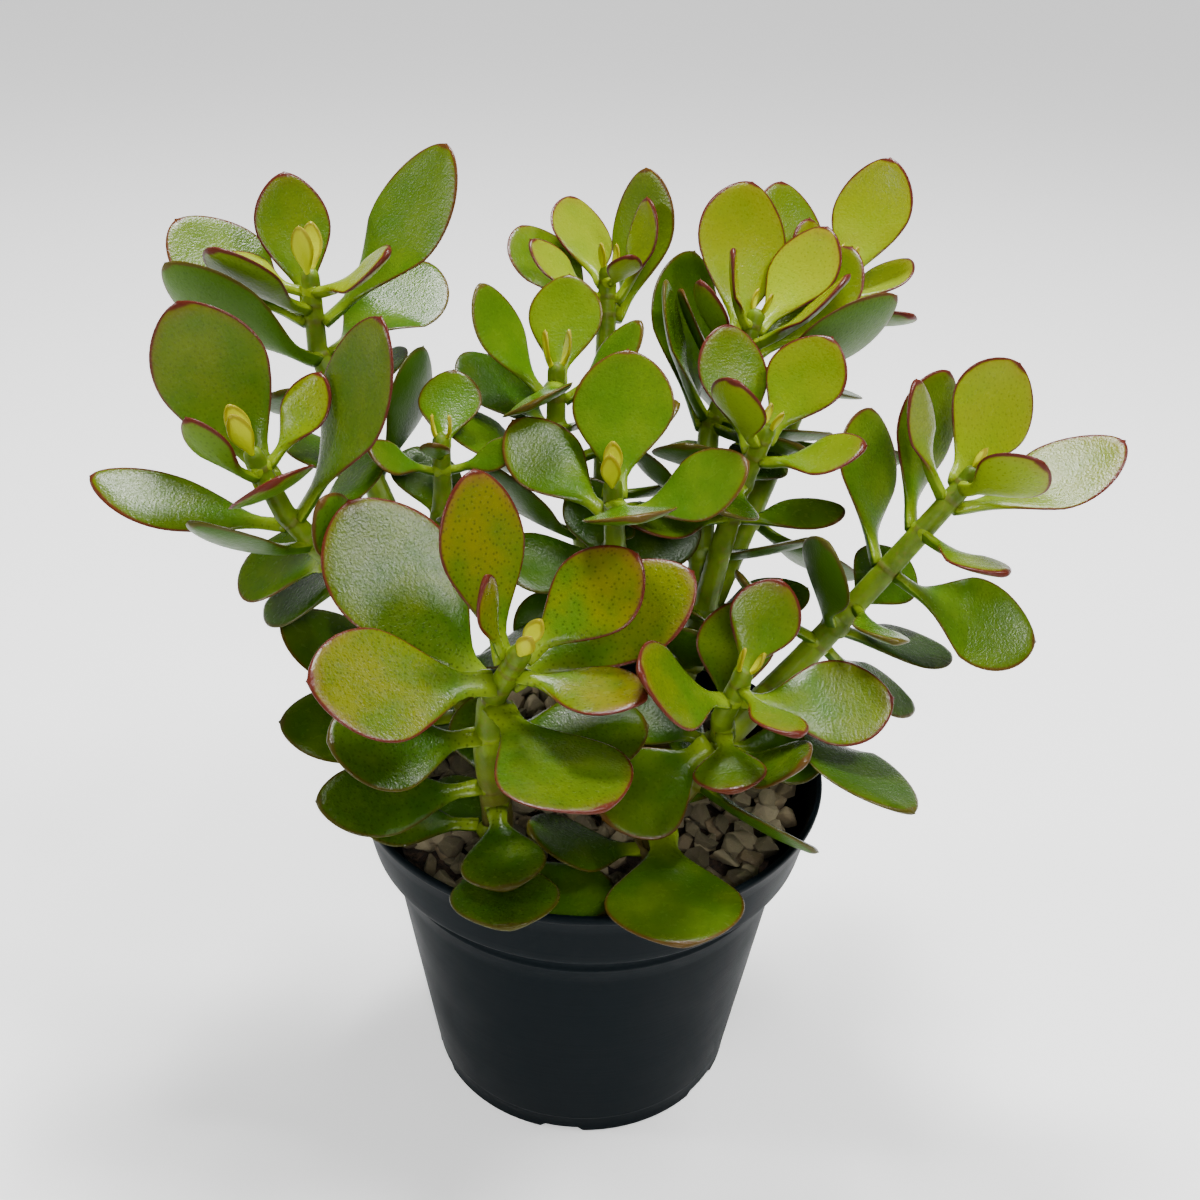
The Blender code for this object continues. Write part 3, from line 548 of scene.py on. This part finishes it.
def leaf_marks(m, skin, place, fine):
    """Dots, a blush towards the end and a coloured rim, laid over the green."""
    age, sun, gap, along = m.read("age"), m.read("sun"), m.read("gap"), m.read("along")
    spots = m.add("ShaderNodeTexVoronoi", {"Vector": place, "Scale": DOT_SCALE, "Randomness": 0.8},
                  voronoi_dimensions="2D")
    spot = m.times(m.ramp(spots.outputs["Distance"], 0.23, 0.09),
                   m.times(m.read("dots"), m.ramp(fine, 0.2, 0.45)))
    skin = m.mix(m.times(spot, 0.5), skin, LEAF_DOT)
    rosy = m.times(m.ramp(gap, 4.5, 0.2), m.ramp(along, 0.55, 0.98))
    rosy = m.times(rosy, m.times(m.read("blush"), m.ramp(fine, 0.1, 0.75, 0.5, 1.0)))
    skin = m.mix(m.times(rosy, 0.8), skin, LEAF_BLUSH)
    edge_width = m.sum(m.times(m.noise(place, 160.0), 0.8), m.ramp(along, 0.5, 1.0, 0.15, 0.6))
    rim = m.ramp(m.math("SUBTRACT", gap, edge_width), 0.4, -0.3)
    rim = m.times(rim, m.ramp(along, 0.14, 0.36))
    rim = m.times(rim, m.ramp(sun, 0.0, 0.3, 0.5, 1.0))
    return m.mix(rim, skin, m.mix(m.ramp(age, 0.7, 1.0), RED_RIM, BROWN_RIM))


# %% Leaf material
def leaf_material():
    m = Shader("leaf_skin")
    place, upper = m.read("place", "Vector"), m.read("upper")
    broad = m.noise(place, 90.0, 3.0)
    fine = m.noise(place, 420.0, 3.0)
    m.put(m.skin.inputs["Base Color"], leaf_marks(m, leaf_greens(m, broad), place, fine))
    dull = m.ramp(upper, 0.05, -0.3, 0.0, 0.16)
    m.put(m.skin.inputs["Roughness"], m.sum(m.ramp(fine, 0.2, 0.8, 0.2, 0.3), dull))
    m.put(m.skin.inputs["Specular IOR Level"], m.ramp(upper, 0.05, -0.3, 0.17, 0.1))
    m.skin.inputs["Subsurface Weight"].default_value = 0.04
    m.skin.inputs["Subsurface Scale"].default_value = 0.0018
    m.skin.inputs["Subsurface Radius"].default_value = (0.7, 1.0, 0.15)
    normal = m.bump(m.noise(place, 1500.0, 2.0, 0.55), 0.1 * MM)
    m.put(m.skin.inputs["Normal"], m.bump(m.noise(place, 620.0, 2.0), 0.1 * MM, 0.8, normal))
    return m.material


leaf_skin = leaf_material()

# %% [markdown]
# ## How each shoot looks
#
# The front shoot stands in the sun: its leaves are olive, dotted and blushed.
# The upper shoots are bright and young, and the low leaves are old and dark.

# %% Looks of every shoot
SHOOTS = {  # age, sun, blush, dots
    "front": (0.30, 0.95, 0.85, 1.0),
    "left_top": (0.12, 0.30, 0.25, 0.35),
    "left_front": (0.25, 0.45, 0.35, 0.65),
    "left_centre": (0.45, 0.15, 0.1, 0.3),
    "left": (0.75, 0.1, 0.1, 0.2),
    "back_top": (0.05, 0.30, 0.35, 0.25),
    "back_centre": (0.30, 0.12, 0.1, 0.3),
    "centre": (0.42, 0.15, 0.15, 0.35),
    "right_top": (0.08, 0.55, 0.55, 0.5),
    "right_back": (0.05, 0.5, 0.4, 0.3),
    "right_centre": (0.20, 0.35, 0.3, 0.4),
    "right_side": (0.10, 0.55, 0.4, 0.5),
    "right_front": (0.35, 0.45, 0.45, 0.55),
    "right_low": (0.85, 0.15, 0.1, 0.4),
}


def look_of(shoot, order, chance):
    """Age grows from the growing tip down; old leaves have little sun and blush."""
    age, sun, blush, dots = SHOOTS[shoot]
    down = max(0, order - 1)
    faded = max(0.1, 1 - 0.33 * max(0, down - 1))
    return {
        "age": min(1.0, age + 0.13 * down + chance.uniform(-0.05, 0.08)),
        "sun": sun * faded * chance.uniform(0.75, 1.1),
        "blush": blush * faded * chance.uniform(0.5, 1.2),
        "dots": min(1.0, dots * chance.uniform(0.7, 1.2)),
        "tone": chance.random(),
    }


# %% [markdown]
# ## Putting the leaves on
#
# Each pair becomes one piece with its joint.
# The shaded leaves and the buds of a stem are two more pieces, and all of them share one skin.

# %% Leaf pieces
BUD_PLUMPNESS = 1.15
BUD_ROOT = 1.0 * MM
number = 0
for name, pair in pairs.items():
    shoot, order = name[len("leaf_pair_"):].rsplit("_", 1)
    grown = []
    chance = random.Random(name)
    for leaf in pair["leaves"]:
        number += 1
        look = look_of(shoot, int(order), chance)
        grown.append((*grow_leaf(leaf, look, number), look))
    grown.append((*grow_joint(pair, number), {**look, "sun": 0.2, "blush": 0.0, "dots": 0.3}))
    belongs(build_piece(name.replace("leaf_pair", "leaves"), grown, leaf_skin), name)
for name in stem_names:
    shapes = []
    chance = random.Random(name)
    for leaf in shaded[name]:
        number += 1
        look = {"age": chance.uniform(0.75, 1.0), "sun": 0.05, "blush": 0.0, "dots": 0.2,
                "tone": chance.random()}
        shapes.append((*grow_leaf(leaf, look, number), look))
    if shapes:
        belongs(build_piece(name.replace("stem", "shaded_leaves"), shapes, leaf_skin), name)
    shapes = []
    for leaf in buds[name]:
        number += 1
        leaf["thick"] *= BUD_PLUMPNESS
        look = {"age": -0.9, "sun": 0.0, "blush": 0.35, "dots": 0.0, "tone": 0.0}
        shapes.append((*grow_leaf(leaf, look, number, BUD_ROOT), look))
    if shapes:
        belongs(build_piece(name.replace("stem", "buds"), shapes, leaf_skin), name)
print(number, "smooth leaves")

# %% [markdown]
# ## The stems
#
# A voxel remesh turns the joined tubes into one even skin, and smoothing rounds the forks.
# Each point then learns how far it is from the nearest leaf joint, where the skin is ringed.

# %% Stem material
STEM_GREEN = (0.11, 0.175, 0.0, 1.0)
STEM_SHADE = (0.06, 0.105, 0.0, 1.0)
STEM_BARK = (0.09, 0.07, 0.015, 1.0)
STEM_CORK = (0.14, 0.09, 0.02, 1.0)
STEM_RING = (0.09, 0.06, 0.015, 1.0)


def stem_material():
    m = Shader("stem_skin")
    place = m.add("ShaderNodeTexCoord").outputs["Object"]
    joint, height = m.read("joint"), m.read("height")
    broad = m.noise(place, 130.0, 3.0)
    fine = m.noise(place, 700.0, 4.0, 0.6)
    skin = m.mix(m.ramp(broad, 0.35, 0.65), STEM_GREEN, STEM_SHADE)
    skin = m.mix(m.ramp(height, 45.0, 5.0), skin, STEM_BARK)
    skin = m.mix(m.times(m.ramp(fine, 0.5, 0.75), 0.4), skin, STEM_CORK)
    ring = m.ramp(joint, 1.1, 0.2)
    skin = m.mix(m.times(ring, 0.45), skin, STEM_RING)
    m.put(m.skin.inputs["Base Color"], skin)
    m.put(m.skin.inputs["Roughness"], m.ramp(fine, 0.2, 0.8, 0.36, 0.6))
    m.skin.inputs["Specular IOR Level"].default_value = 0.2
    m.skin.inputs["Subsurface Weight"].default_value = 0.05
    m.skin.inputs["Subsurface Scale"].default_value = 0.0015
    normal = m.bump(fine, 0.3 * MM, 0.6)
    m.put(m.skin.inputs["Normal"], m.bump(ring, 0.3 * MM, 0.5, normal))
    return m.material


stem_skin = stem_material()

# %% [markdown]
# ## Smooth stems
#
# The remesh works on a bare stem with no openings.
# Pushing the smoothed skin out a little makes up for what smoothing took and gives fleshy stems.

# %% Stems
STEM_GRAIN = 0.5 * MM
STEM_SMOOTHING = 6
STEM_FLESH = 0.8 * MM
JOINT_REACH = 6.0  # millimetres from a joint's middle within which its ring can show
gravel_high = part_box("gravel")[1]
joints = [(pair["centre"], pair["axis"]) for pair in pairs.values()]
joint_tree = KDTree(len(joints))
for i, (centre, _) in enumerate(joints):
    joint_tree.insert(centre, i)
joint_tree.balance()
for name in stem_names:
    rough = bpy.data.objects.new("rough_" + name, bare[name])
    bpy.context.scene.collection.objects.link(rough)
    remesh = rough.modifiers.new("even_skin", "REMESH")
    remesh.mode = "VOXEL"
    remesh.voxel_size = STEM_GRAIN
    smooth = rough.modifiers.new("rounded", "SMOOTH")
    smooth.factor = 0.5
    smooth.iterations = STEM_SMOOTHING
    fleshy = rough.modifiers.new("fleshy", "DISPLACE")
    fleshy.strength = STEM_FLESH
    fleshy.mid_level = 0.0
    graph = bpy.context.evaluated_depsgraph_get()
    mesh = bpy.data.meshes.new_from_object(rough.evaluated_get(graph))
    bpy.data.objects.remove(rough)
    rings, heights = [], []
    for v in mesh.vertices:
        centre, index, _ = joint_tree.find(v.co)
        along_stem = abs((v.co - centre).dot(joints[index][1])) / MM
        rings.append(along_stem + max(0.0, (v.co - centre).length / MM - JOINT_REACH))
        heights.append((v.co.z - gravel_high.z) / MM)
    mesh.attributes.new("joint", "FLOAT", "POINT").data.foreach_set("value", rings)
    mesh.attributes.new("height", "FLOAT", "POINT").data.foreach_set("value", heights)
    mesh.materials.clear()
    mesh.materials.append(stem_skin)
    mesh.polygons.foreach_set("use_smooth", [True] * len(mesh.polygons))
    stem = bpy.data.objects.new(name.replace("stem", "bark"), mesh)
    bpy.context.scene.collection.objects.link(stem)
    belongs(stem, name)
    print(stem.name, len(mesh.vertices), "points")

# %% [markdown]
# ## The pot
#
# Rays cast at the plain pot give its radius at any height, inside and out.
# The steps in that radius show where the foot, the body and the collar meet.
# We turn a finer profile from it, with rounded corners and two thin ribs under the collar.

# %% Measure the pot
POT_SEGMENTS = 180
NOTCH_HEIGHT = 1.6 * MM
NOTCH_TURN = 96  # degrees clockwise from +X to the first notch
NOTCH_SPACING = 60
NOTCH_HALF_WIDTH = 6.1  # degrees
CENTRE_PAD = 11 * MM
RIB_DROPS = (6.8, 3.6)  # millimetres below the collar
RIB_SECTION = ((0.9, 0.0), (0.45, 0.35), (0.0, 0.45), (-0.45, 0.35), (-0.9, 0.0))
STEP = 0.1 * MM
LOOK_ALONG = Vector((math.cos(math.radians(-66)), math.sin(math.radians(-66)), 0))

pot_mesh = nodes["pot"].data
pot_tree = BVHTree.FromPolygons([v.co for v in pot_mesh.vertices], [p.vertices for p in pot_mesh.polygons])
pot_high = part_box("pot")[1]
pot_top = pot_high[2]


def outside_radius(z):
    hit = pot_tree.ray_cast(LOOK_ALONG * 0.2 + Vector((0, 0, z)), -LOOK_ALONG)[0]
    return hit.xy.length


def inside_radius(z):
    hit = pot_tree.ray_cast(Vector((0, 0, z)), LOOK_ALONG)[0]
    return hit.xy.length


heights = [i * STEP + STEP / 2 for i in range(int(pot_top / STEP))]
steps = [(outside_radius(b) - outside_radius(a), (a + b) / 2) for a, b in zip(heights[:-1], heights[1:])]
collar_z = max(steps)[1]
foot_top = max(step for step in steps if step[1] < 0.2 * pot_top)[1]
floor_top = pot_tree.ray_cast(Vector((0, 0, collar_z)), Vector((0, 0, -1)))[0].z
print("collar at", round(collar_z / MM, 1), "mm, foot band to", round(foot_top / MM, 1), "mm")

# %% [markdown]
# ## The pot's profile
#
# The profile runs from the middle of the underside out to the foot, up the outside,
# over the rim and down the inside to the floor.
# Every corner gets two or three points, so that it catches the light like moulded plastic.

# %% Outside of the pot
def body(z, extra=0.0):
    """A point of the outside wall, with millimetres added to its radius."""
    return (outside_radius(z) + extra * MM, z)


foot_radius = outside_radius(1 * MM)
below = collar_z - 0.3 * MM
above = collar_z + 0.3 * MM
shoulder = outside_radius(above)
collar_foot = collar_z + 2 * MM
profile = [(1 * MM, 0.0), (CENTRE_PAD, 0.0), (CENTRE_PAD + 0.4 * MM, NOTCH_HEIGHT + 0.2 * MM)]
profile += [(foot_radius - 3.4 * MM, NOTCH_HEIGHT + 0.2 * MM), (foot_radius - 3.1 * MM, 0.1 * MM)]
profile += [(foot_radius - 2.8 * MM, 0.0), (foot_radius - 0.4 * MM, 0.0), (foot_radius, 0.4 * MM)]
profile += [(foot_radius, 0.8 * MM), (foot_radius, NOTCH_HEIGHT), (foot_radius, foot_top - 0.5 * MM)]
profile += [body(foot_top + 0.1 * MM, -0.15), body(foot_top + 0.6 * MM), body(foot_top + 1.0 * MM)]
profile += [body(foot_top + (below - foot_top) * i / 12) for i in range(1, 11)]
for rib in RIB_DROPS:
    profile += [body(collar_z - (rib + drop) * MM, out) for drop, out in RIB_SECTION]
profile += [body(below - 1.2 * MM), body(below - 0.4 * MM, 0.15)]
profile += [(outside_radius(below) + 0.9 * MM, collar_z), (shoulder - 0.9 * MM, collar_z + 0.05 * MM)]
profile += [(shoulder - 0.25 * MM, above), (shoulder + 0.05 * MM, collar_z + 0.9 * MM), body(collar_foot)]
profile += [body(collar_z + (pot_top - 3 * MM - collar_z) * i / 4) for i in range(1, 5)]

# %% Rim and inside of the pot
rim = pot_high[0]
profile += [(rim - 0.5 * MM, pot_top - 2.3 * MM), (rim - 0.1 * MM, pot_top - 1.8 * MM)]
profile += [(rim, pot_top - 1.2 * MM), (rim, pot_top - 0.7 * MM)]
profile += [(rim - 0.15 * MM, pot_top - 0.25 * MM), (rim - 0.6 * MM, pot_top)]
inner_rim = inside_radius(pot_top - 0.5 * MM)
profile += [(inner_rim + 0.5 * MM, pot_top), (inner_rim + 0.1 * MM, pot_top - 0.2 * MM)]
profile.append((inner_rim, pot_top - 0.7 * MM))
inner_heights = [pot_top - d * MM for d in (3, 6, 9, 13, 17)] + [collar_z - 1 * MM, floor_top + 2 * MM]
profile += [(inside_radius(z), z) for z in inner_heights]
profile += [(inside_radius(floor_top + 1 * MM) - 1 * MM, floor_top + 0.1 * MM), (1 * MM, floor_top)]


def turn_profile(profile, segments):
    """Points and faces of a profile turned round the upright axis, closed at both ends."""
    verts = []
    for radius, z in profile:
        for k in range(segments):
            angle = 2 * math.pi * k / segments
            verts.append(Vector((radius * math.cos(angle), radius * math.sin(angle), z)))
    faces = tube_faces(len(profile), segments)
    faces.append(tuple(range(segments))[::-1])
    faces.append(tuple(range(len(verts) - segments, len(verts))))
    return verts, faces


def plain_object(name, verts, faces, material, smooth=True):
    mesh = bpy.data.meshes.new(name)
    mesh.from_pydata([tuple(v) for v in verts], [], faces)
    mesh.update()
    mesh.polygons.foreach_set("use_smooth", [smooth] * len(mesh.polygons))
    mesh.materials.append(material)
    obj = bpy.data.objects.new(name, mesh)
    bpy.context.scene.collection.objects.link(obj)
    return obj


# %% [markdown]
# ## The pot's plastic
#
# The plastic is nearly black with a little blue, slightly uneven and faintly ringed by its mould.
# The six drain notches are pressed up into the foot.

# %% Pot material and pot
POT_DARK = (0.0014, 0.0034, 0.0046, 1.0)
POT_LIGHT = (0.0022, 0.0046, 0.006, 1.0)
POT_DUST = paint(96, 98, 92)


def pot_material():
    m = Shader("pot_plastic")
    place = m.add("ShaderNodeTexCoord").outputs["Object"]
    broad = m.noise(place, 28.0, 4.0, 0.6)
    fine = m.noise(place, 2600.0, 2.0)
    turned = m.add("ShaderNodeMapping", {"Vector": place, "Scale": (6.0, 6.0, 900.0)}).outputs[0]
    rings = m.noise(turned, 1.0, 3.0, 0.6)
    dust = m.times(m.ramp(m.noise(place, 900.0, 4.0, 0.7), 0.62, 0.8), m.ramp(broad, 0.45, 0.75))
    skin = m.mix(m.ramp(broad, 0.3, 0.7), POT_DARK, POT_LIGHT)
    m.put(m.skin.inputs["Base Color"], m.mix(m.times(dust, 0.12), skin, POT_DUST))
    m.put(m.skin.inputs["Roughness"], m.sum(m.ramp(broad, 0.3, 0.7, 0.42, 0.54), m.times(dust, 0.2)))
    m.skin.inputs["Specular IOR Level"].default_value = 0.03
    normal = m.bump(fine, 0.04 * MM, 0.5)
    m.put(m.skin.inputs["Normal"], m.bump(rings, 0.06 * MM, 0.5, normal))
    return m.material


pot_verts, pot_faces = turn_profile(profile, POT_SEGMENTS)
for v in pot_verts:
    angle = math.degrees(math.atan2(v.y, v.x))
    off = (angle + NOTCH_TURN + NOTCH_SPACING / 2) % NOTCH_SPACING - NOTCH_SPACING / 2
    in_foot = v.z < NOTCH_HEIGHT and v.xy.length > foot_radius - 3.5 * MM
    if in_foot and abs(off) < NOTCH_HALF_WIDTH:
        v.z = NOTCH_HEIGHT
pot = plain_object("nursery_pot", pot_verts, pot_faces, pot_material())
pot.data.set_sharp_from_angle(angle=math.radians(50))
belongs(pot, "pot")

# %% [markdown]
# ## Soil and loose stones
#
# The soil is a plug that fills the pot up to the gravel, with a crumbly top.
# It shows only in the gaps between the stones.

# %% Soil
SOIL_SEGMENTS = 96
soil_low, soil_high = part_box("potting_soil")


def soil_material():
    m = Shader("soil_mix")
    place = m.add("ShaderNodeTexCoord").outputs["Object"]
    crumbs = m.noise(place, 500.0, 5.0, 0.7)
    fibres = m.noise(place, 1600.0, 3.0, 0.6)
    skin = m.mix(m.ramp(crumbs, 0.35, 0.7), paint(34, 24, 17), paint(74, 55, 38))
    skin = m.mix(m.times(m.ramp(fibres, 0.62, 0.72), 0.5), skin, paint(128, 100, 66))
    m.put(m.skin.inputs["Base Color"], skin)
    m.put(m.skin.inputs["Roughness"], m.ramp(crumbs, 0.2, 0.8, 0.85, 1.0))
    m.put(m.skin.inputs["Normal"], m.bump(crumbs, 1.2 * MM, 1.0, m.bump(fibres, 0.3 * MM, 0.8)))
    return m.material


soil_radius, soil_top = soil_high[0], soil_high[2]
soil_profile = [(1 * MM, soil_low[2]), (inside_radius(soil_low[2] + 1 * MM) - 1.2 * MM, soil_low[2])]
soil_profile.append((inside_radius(collar_z - 1 * MM) - 1.0 * MM, collar_z))
soil_profile.append((soil_radius - 0.5 * MM, soil_top - 0.5 * MM))
soil_profile += [(soil_radius * (1 - i / 24) - 0.5 * MM, soil_top) for i in range(1, 23)]
soil_profile.append((1 * MM, soil_top))
soil_verts, soil_faces = turn_profile(soil_profile, SOIL_SEGMENTS)
chance = random.Random(4)
for v in soil_verts:
    if v.z > soil_top - 0.1 * MM and v.xy.length < soil_radius - 1 * MM:
        v.z += chance.uniform(-1.2, 0.2) * MM
belongs(plain_object("soil_plug", soil_verts, soil_faces, soil_material()), "potting_soil")

# %% [markdown]
# ## One stone
#
# Each stone is the hull of a few random points, so it has flat chipped faces like broken rock.
# A small bevel wears its edges.

# %% Shape and material of a stone
STONE_POINTS = 15
STONE_WEAR = 0.045  # bevel over the stone's size
STONE_DARK = (0.075, 0.062, 0.03, 1.0)
STONE_LIGHT = (0.21, 0.175, 0.10, 1.0)
STONE_TAN = (0.14, 0.095, 0.045, 1.0)
STONE_GRAIN = (0.32, 0.28, 0.19, 1.0)
STONE_PATCH = paint(92, 80, 64)
STONE_PIT = paint(66, 54, 40)


def stone(centre, size, chance):
    """A chipped stone: the hull of random points on a squashed ball, with its edges worn."""
    squash = Vector((chance.uniform(0.8, 1.15), chance.uniform(0.65, 0.95), chance.uniform(0.5, 0.8)))
    turn = Matrix.Rotation(chance.uniform(0, 6.28), 3, "Z") @ Matrix.Rotation(chance.gauss(0, 0.45), 3, "X")
    shape = bmesh.new()
    for _ in range(STONE_POINTS):
        d = Vector((chance.gauss(0, 1), chance.gauss(0, 1), chance.gauss(0, 1))).normalized()
        point = Vector((d.x * squash.x, d.y * squash.y, d.z * squash.z)) * size / 2
        shape.verts.new(turn @ point * chance.uniform(0.88, 1.0))
    bmesh.ops.convex_hull(shape, input=shape.verts)
    loose = [v for v in shape.verts if not v.link_faces]
    bmesh.ops.delete(shape, geom=loose, context="VERTS")
    bmesh.ops.bevel(shape, geom=shape.edges[:], offset=size * STONE_WEAR, segments=2, profile=0.6,
                    affect="EDGES", clamp_overlap=True)
    bmesh.ops.triangulate(shape, faces=[f for f in shape.faces if len(f.verts) > 4])
    shape.verts.index_update()
    verts = [v.co + centre for v in shape.verts]
    faces = [tuple(v.index for v in f.verts) for f in shape.faces]
    shape.free()
    return verts, faces


def stone_material():
    m = Shader("gravel_stone")
    place = m.add("ShaderNodeTexCoord").outputs["Object"]
    tone, tint = m.read("tone"), m.read("tint")
    grain = m.noise(place, 1500.0, 5.0, 0.65)
    patches = m.noise(place, 260.0, 3.0)
    skin = m.mix(m.ramp(tone, 0.0, 1.0), STONE_DARK, STONE_LIGHT)
    skin = m.mix(m.times(m.ramp(tint, 0.55, 1.0), 0.6), skin, STONE_TAN)
    skin = m.mix(m.times(m.ramp(patches, 0.45, 0.75), 0.4), skin, STONE_PATCH)
    skin = m.mix(m.times(m.ramp(grain, 0.58, 0.75), 0.5), skin, STONE_GRAIN)
    skin = m.mix(m.times(m.ramp(grain, 0.42, 0.28), 0.5), skin, STONE_PIT)
    m.put(m.skin.inputs["Base Color"], skin)
    m.put(m.skin.inputs["Roughness"], m.ramp(grain, 0.2, 0.8, 0.78, 0.98))
    m.put(m.skin.inputs["Normal"], m.bump(grain, 0.3 * MM, 0.8, m.bump(patches, 0.6 * MM, 0.5)))
    return m.material


# %% [markdown]
# ## The layer of stones
#
# The stones sit on a jittered grid inside the rim, clear of the stems.
# A second, looser layer lies on top of the first.

# %% Lay the stones
STONE_SPACING = 7.4 * MM
ROW_SPACING = 0.87  # rows of a staggered grid are closer than its columns
STONE_SIZES = (8.0, 12.0)
GRID_JITTER = 1.3
LEVEL_JITTER = 0.6
GRID_HALF = 10
LAYERS = ((4.4, 1.0, 0.0), (2.0, 0.5, 0.5))  # depth in millimetres, share of places used, shift
gravel_top = gravel_high[2]
gravel_radius = inside_radius(gravel_top - 3 * MM)
stem_feet = []
for name in stem_names:
    ring = [v.co for v in bare[name].vertices if v.co.z < soil_top + 1 * MM]
    stem_feet.append(sum(ring, Vector()) / len(ring))

stone_verts, stone_faces, tones, tints = [], [], [], []
chance = random.Random(17)
steps = range(-GRID_HALF, GRID_HALF + 1)
grid = [(row, column) for row in steps for column in steps]
placed = 0
for depth, share, shift in LAYERS:
    for row, column in grid:
        x = (column + shift + (row % 2) / 2) * STONE_SPACING + chance.uniform(-GRID_JITTER, GRID_JITTER) * MM
        y = (row + shift) * STONE_SPACING * ROW_SPACING + chance.uniform(-GRID_JITTER, GRID_JITTER) * MM
        size = chance.uniform(*STONE_SIZES) * MM
        level = gravel_top - depth * MM + chance.uniform(-LEVEL_JITTER, LEVEL_JITTER) * MM
        spot = Vector((x, y, level))
        if spot.xy.length + size * 0.45 > gravel_radius or chance.random() > share:
            continue
        if any((spot.xy - foot.xy).length < size * 0.42 + 3.6 * MM for foot in stem_feet):
            continue
        verts, faces = stone(spot, size, chance)
        start = len(stone_verts)
        stone_verts += verts
        stone_faces += [tuple(start + i for i in face) for face in faces]
        tones += [chance.random()] * len(verts)
        tints += [chance.random()] * len(verts)
        placed += 1
stones = plain_object("loose_stones", stone_verts, stone_faces, stone_material())
stones.data.set_sharp_from_angle(angle=math.radians(35))
stones.data.attributes.new("tone", "FLOAT", "POINT").data.foreach_set("value", tones)
stones.data.attributes.new("tint", "FLOAT", "POINT").data.foreach_set("value", tints)
belongs(stones, "gravel")
print(placed, "stones")

# %% [markdown]
# ## Floor and sky
#
# The floor is pale and glows a little, more so far away, which keeps it even.
# The sky is brightest near the horizon, so that floor and sky meet softly.

# %% Floor
FLOOR_HALF = 9.0
FLOOR_PALE = (0.93, 0.93, 0.93, 1.0)
FLOOR_PALER = (0.95, 0.95, 0.95, 1.0)
WHITE = (1.0, 1.0, 1.0, 1.0)

studio = Shader("studio_floor")
spot = studio.add("ShaderNodeTexCoord").outputs["Object"]
away = studio.add("ShaderNodeVectorMath", {0: spot}, operation="LENGTH").outputs["Value"]
tone = studio.mix(studio.noise(spot, 3.0, 2.0), FLOOR_PALE, FLOOR_PALER)
studio.put(studio.skin.inputs["Base Color"], tone)
studio.skin.inputs["Roughness"].default_value = 0.9
studio.skin.inputs["Specular IOR Level"].default_value = 0.1
studio.skin.inputs["Emission Color"].default_value = WHITE
studio.put(studio.skin.inputs["Emission Strength"], studio.ramp(away, 0.2, 1.2, 0.5, 0.85))
corners = [(x * FLOOR_HALF, y * FLOOR_HALF, 0) for x, y in ((-1, -1), (1, -1), (1, 1), (-1, 1))]
floor = plain_object("studio_floor", corners, [(0, 1, 2, 3)], studio.material, smooth=False)

# %% Sky
SKY_LOW = 0.7
SKY_HIGH = 0.22
SKY_FADE = 0.35  # height of the view direction at which the sky has faded

world = bpy.data.worlds.new("soft_sky")
bpy.context.scene.world = world
world.use_nodes = True
sky_nodes, sky_links = world.node_tree.nodes, world.node_tree.links
sky = sky_nodes["Background"]
sky.inputs["Color"].default_value = WHITE
direction = sky_nodes.new("ShaderNodeTexCoord").outputs["Generated"]
height = sky_nodes.new("ShaderNodeSeparateXYZ")
haze = sky_nodes.new("ShaderNodeMapRange")
sky_links.new(direction, height.inputs["Vector"])
sky_links.new(height.outputs["Z"], haze.inputs["Value"])
sky_links.new(haze.outputs["Result"], sky.inputs["Strength"])
for key, value in (("From Min", 0.0), ("From Max", SKY_FADE), ("To Min", SKY_LOW), ("To Max", SKY_HIGH)):
    haze.inputs[key].default_value = value

# %% [markdown]
# ## Lamps
#
# One lamp above and behind and one high on the right make the waxy leaf faces shine towards us.
# Two small ones on the left and in front fill the shadows.

# %% Lamps
LAMPS = {  # place, width, depth, watts
    "overhead_box": ((0.0, 0.36, 1.05), 0.24, 0.2, 17.0),
    "right_box": ((0.52, -0.05, 1.0), 0.24, 0.24, 9.0),
    "left_box": ((-0.8, -0.1, 0.6), 0.15, 0.15, 3.0),
    "front_box": ((0.1, -0.9, 0.75), 0.22, 0.22, 6.5),
}
LAMP_AIM = Vector((0, 0, 0.15))
for name, (place, width, depth, power) in LAMPS.items():
    data = bpy.data.lights.new(name, "AREA")
    data.shape = "RECTANGLE"
    data.size = width
    data.size_y = depth
    data.energy = power
    lamp = bpy.data.objects.new(name, data)
    lamp.location = place
    lamp.rotation_euler = (LAMP_AIM - Vector(place)).to_track_quat("-Z", "Y").to_euler()
    bpy.context.scene.collection.objects.link(lamp)

# %% [markdown]
# ## Camera
#
# The camera looks down at the plant from the front, slightly tilted, and takes in the whole pot.

# %% Camera
VIEW_DROP = math.radians(29.5)
VIEW_ROLL = math.radians(1.8)
VIEW_DISTANCE = 0.367
VIEW_LENS = 42
VIEW_SENSOR = 36
VIEW_AIM = Vector((0.0017, 0.0, 0.1504))

forward = Vector((0, math.cos(VIEW_DROP), -math.sin(VIEW_DROP)))
right = Vector((1, 0, 0))
up = right.cross(forward)
turned_right = right * math.cos(VIEW_ROLL) + up * math.sin(VIEW_ROLL)
turned_up = up * math.cos(VIEW_ROLL) - right * math.sin(VIEW_ROLL)
camera_data = bpy.data.cameras.new("camera")
camera_data.sensor_width = VIEW_SENSOR
camera_data.lens = VIEW_LENS
camera = bpy.data.objects.new("camera", camera_data)
turn = Matrix((turned_right, turned_up, -forward)).transposed()
camera.matrix_world = Matrix.Translation(VIEW_AIM - forward * VIEW_DISTANCE) @ turn.to_4x4()
bpy.context.scene.collection.objects.link(camera)
bpy.context.scene.camera = camera
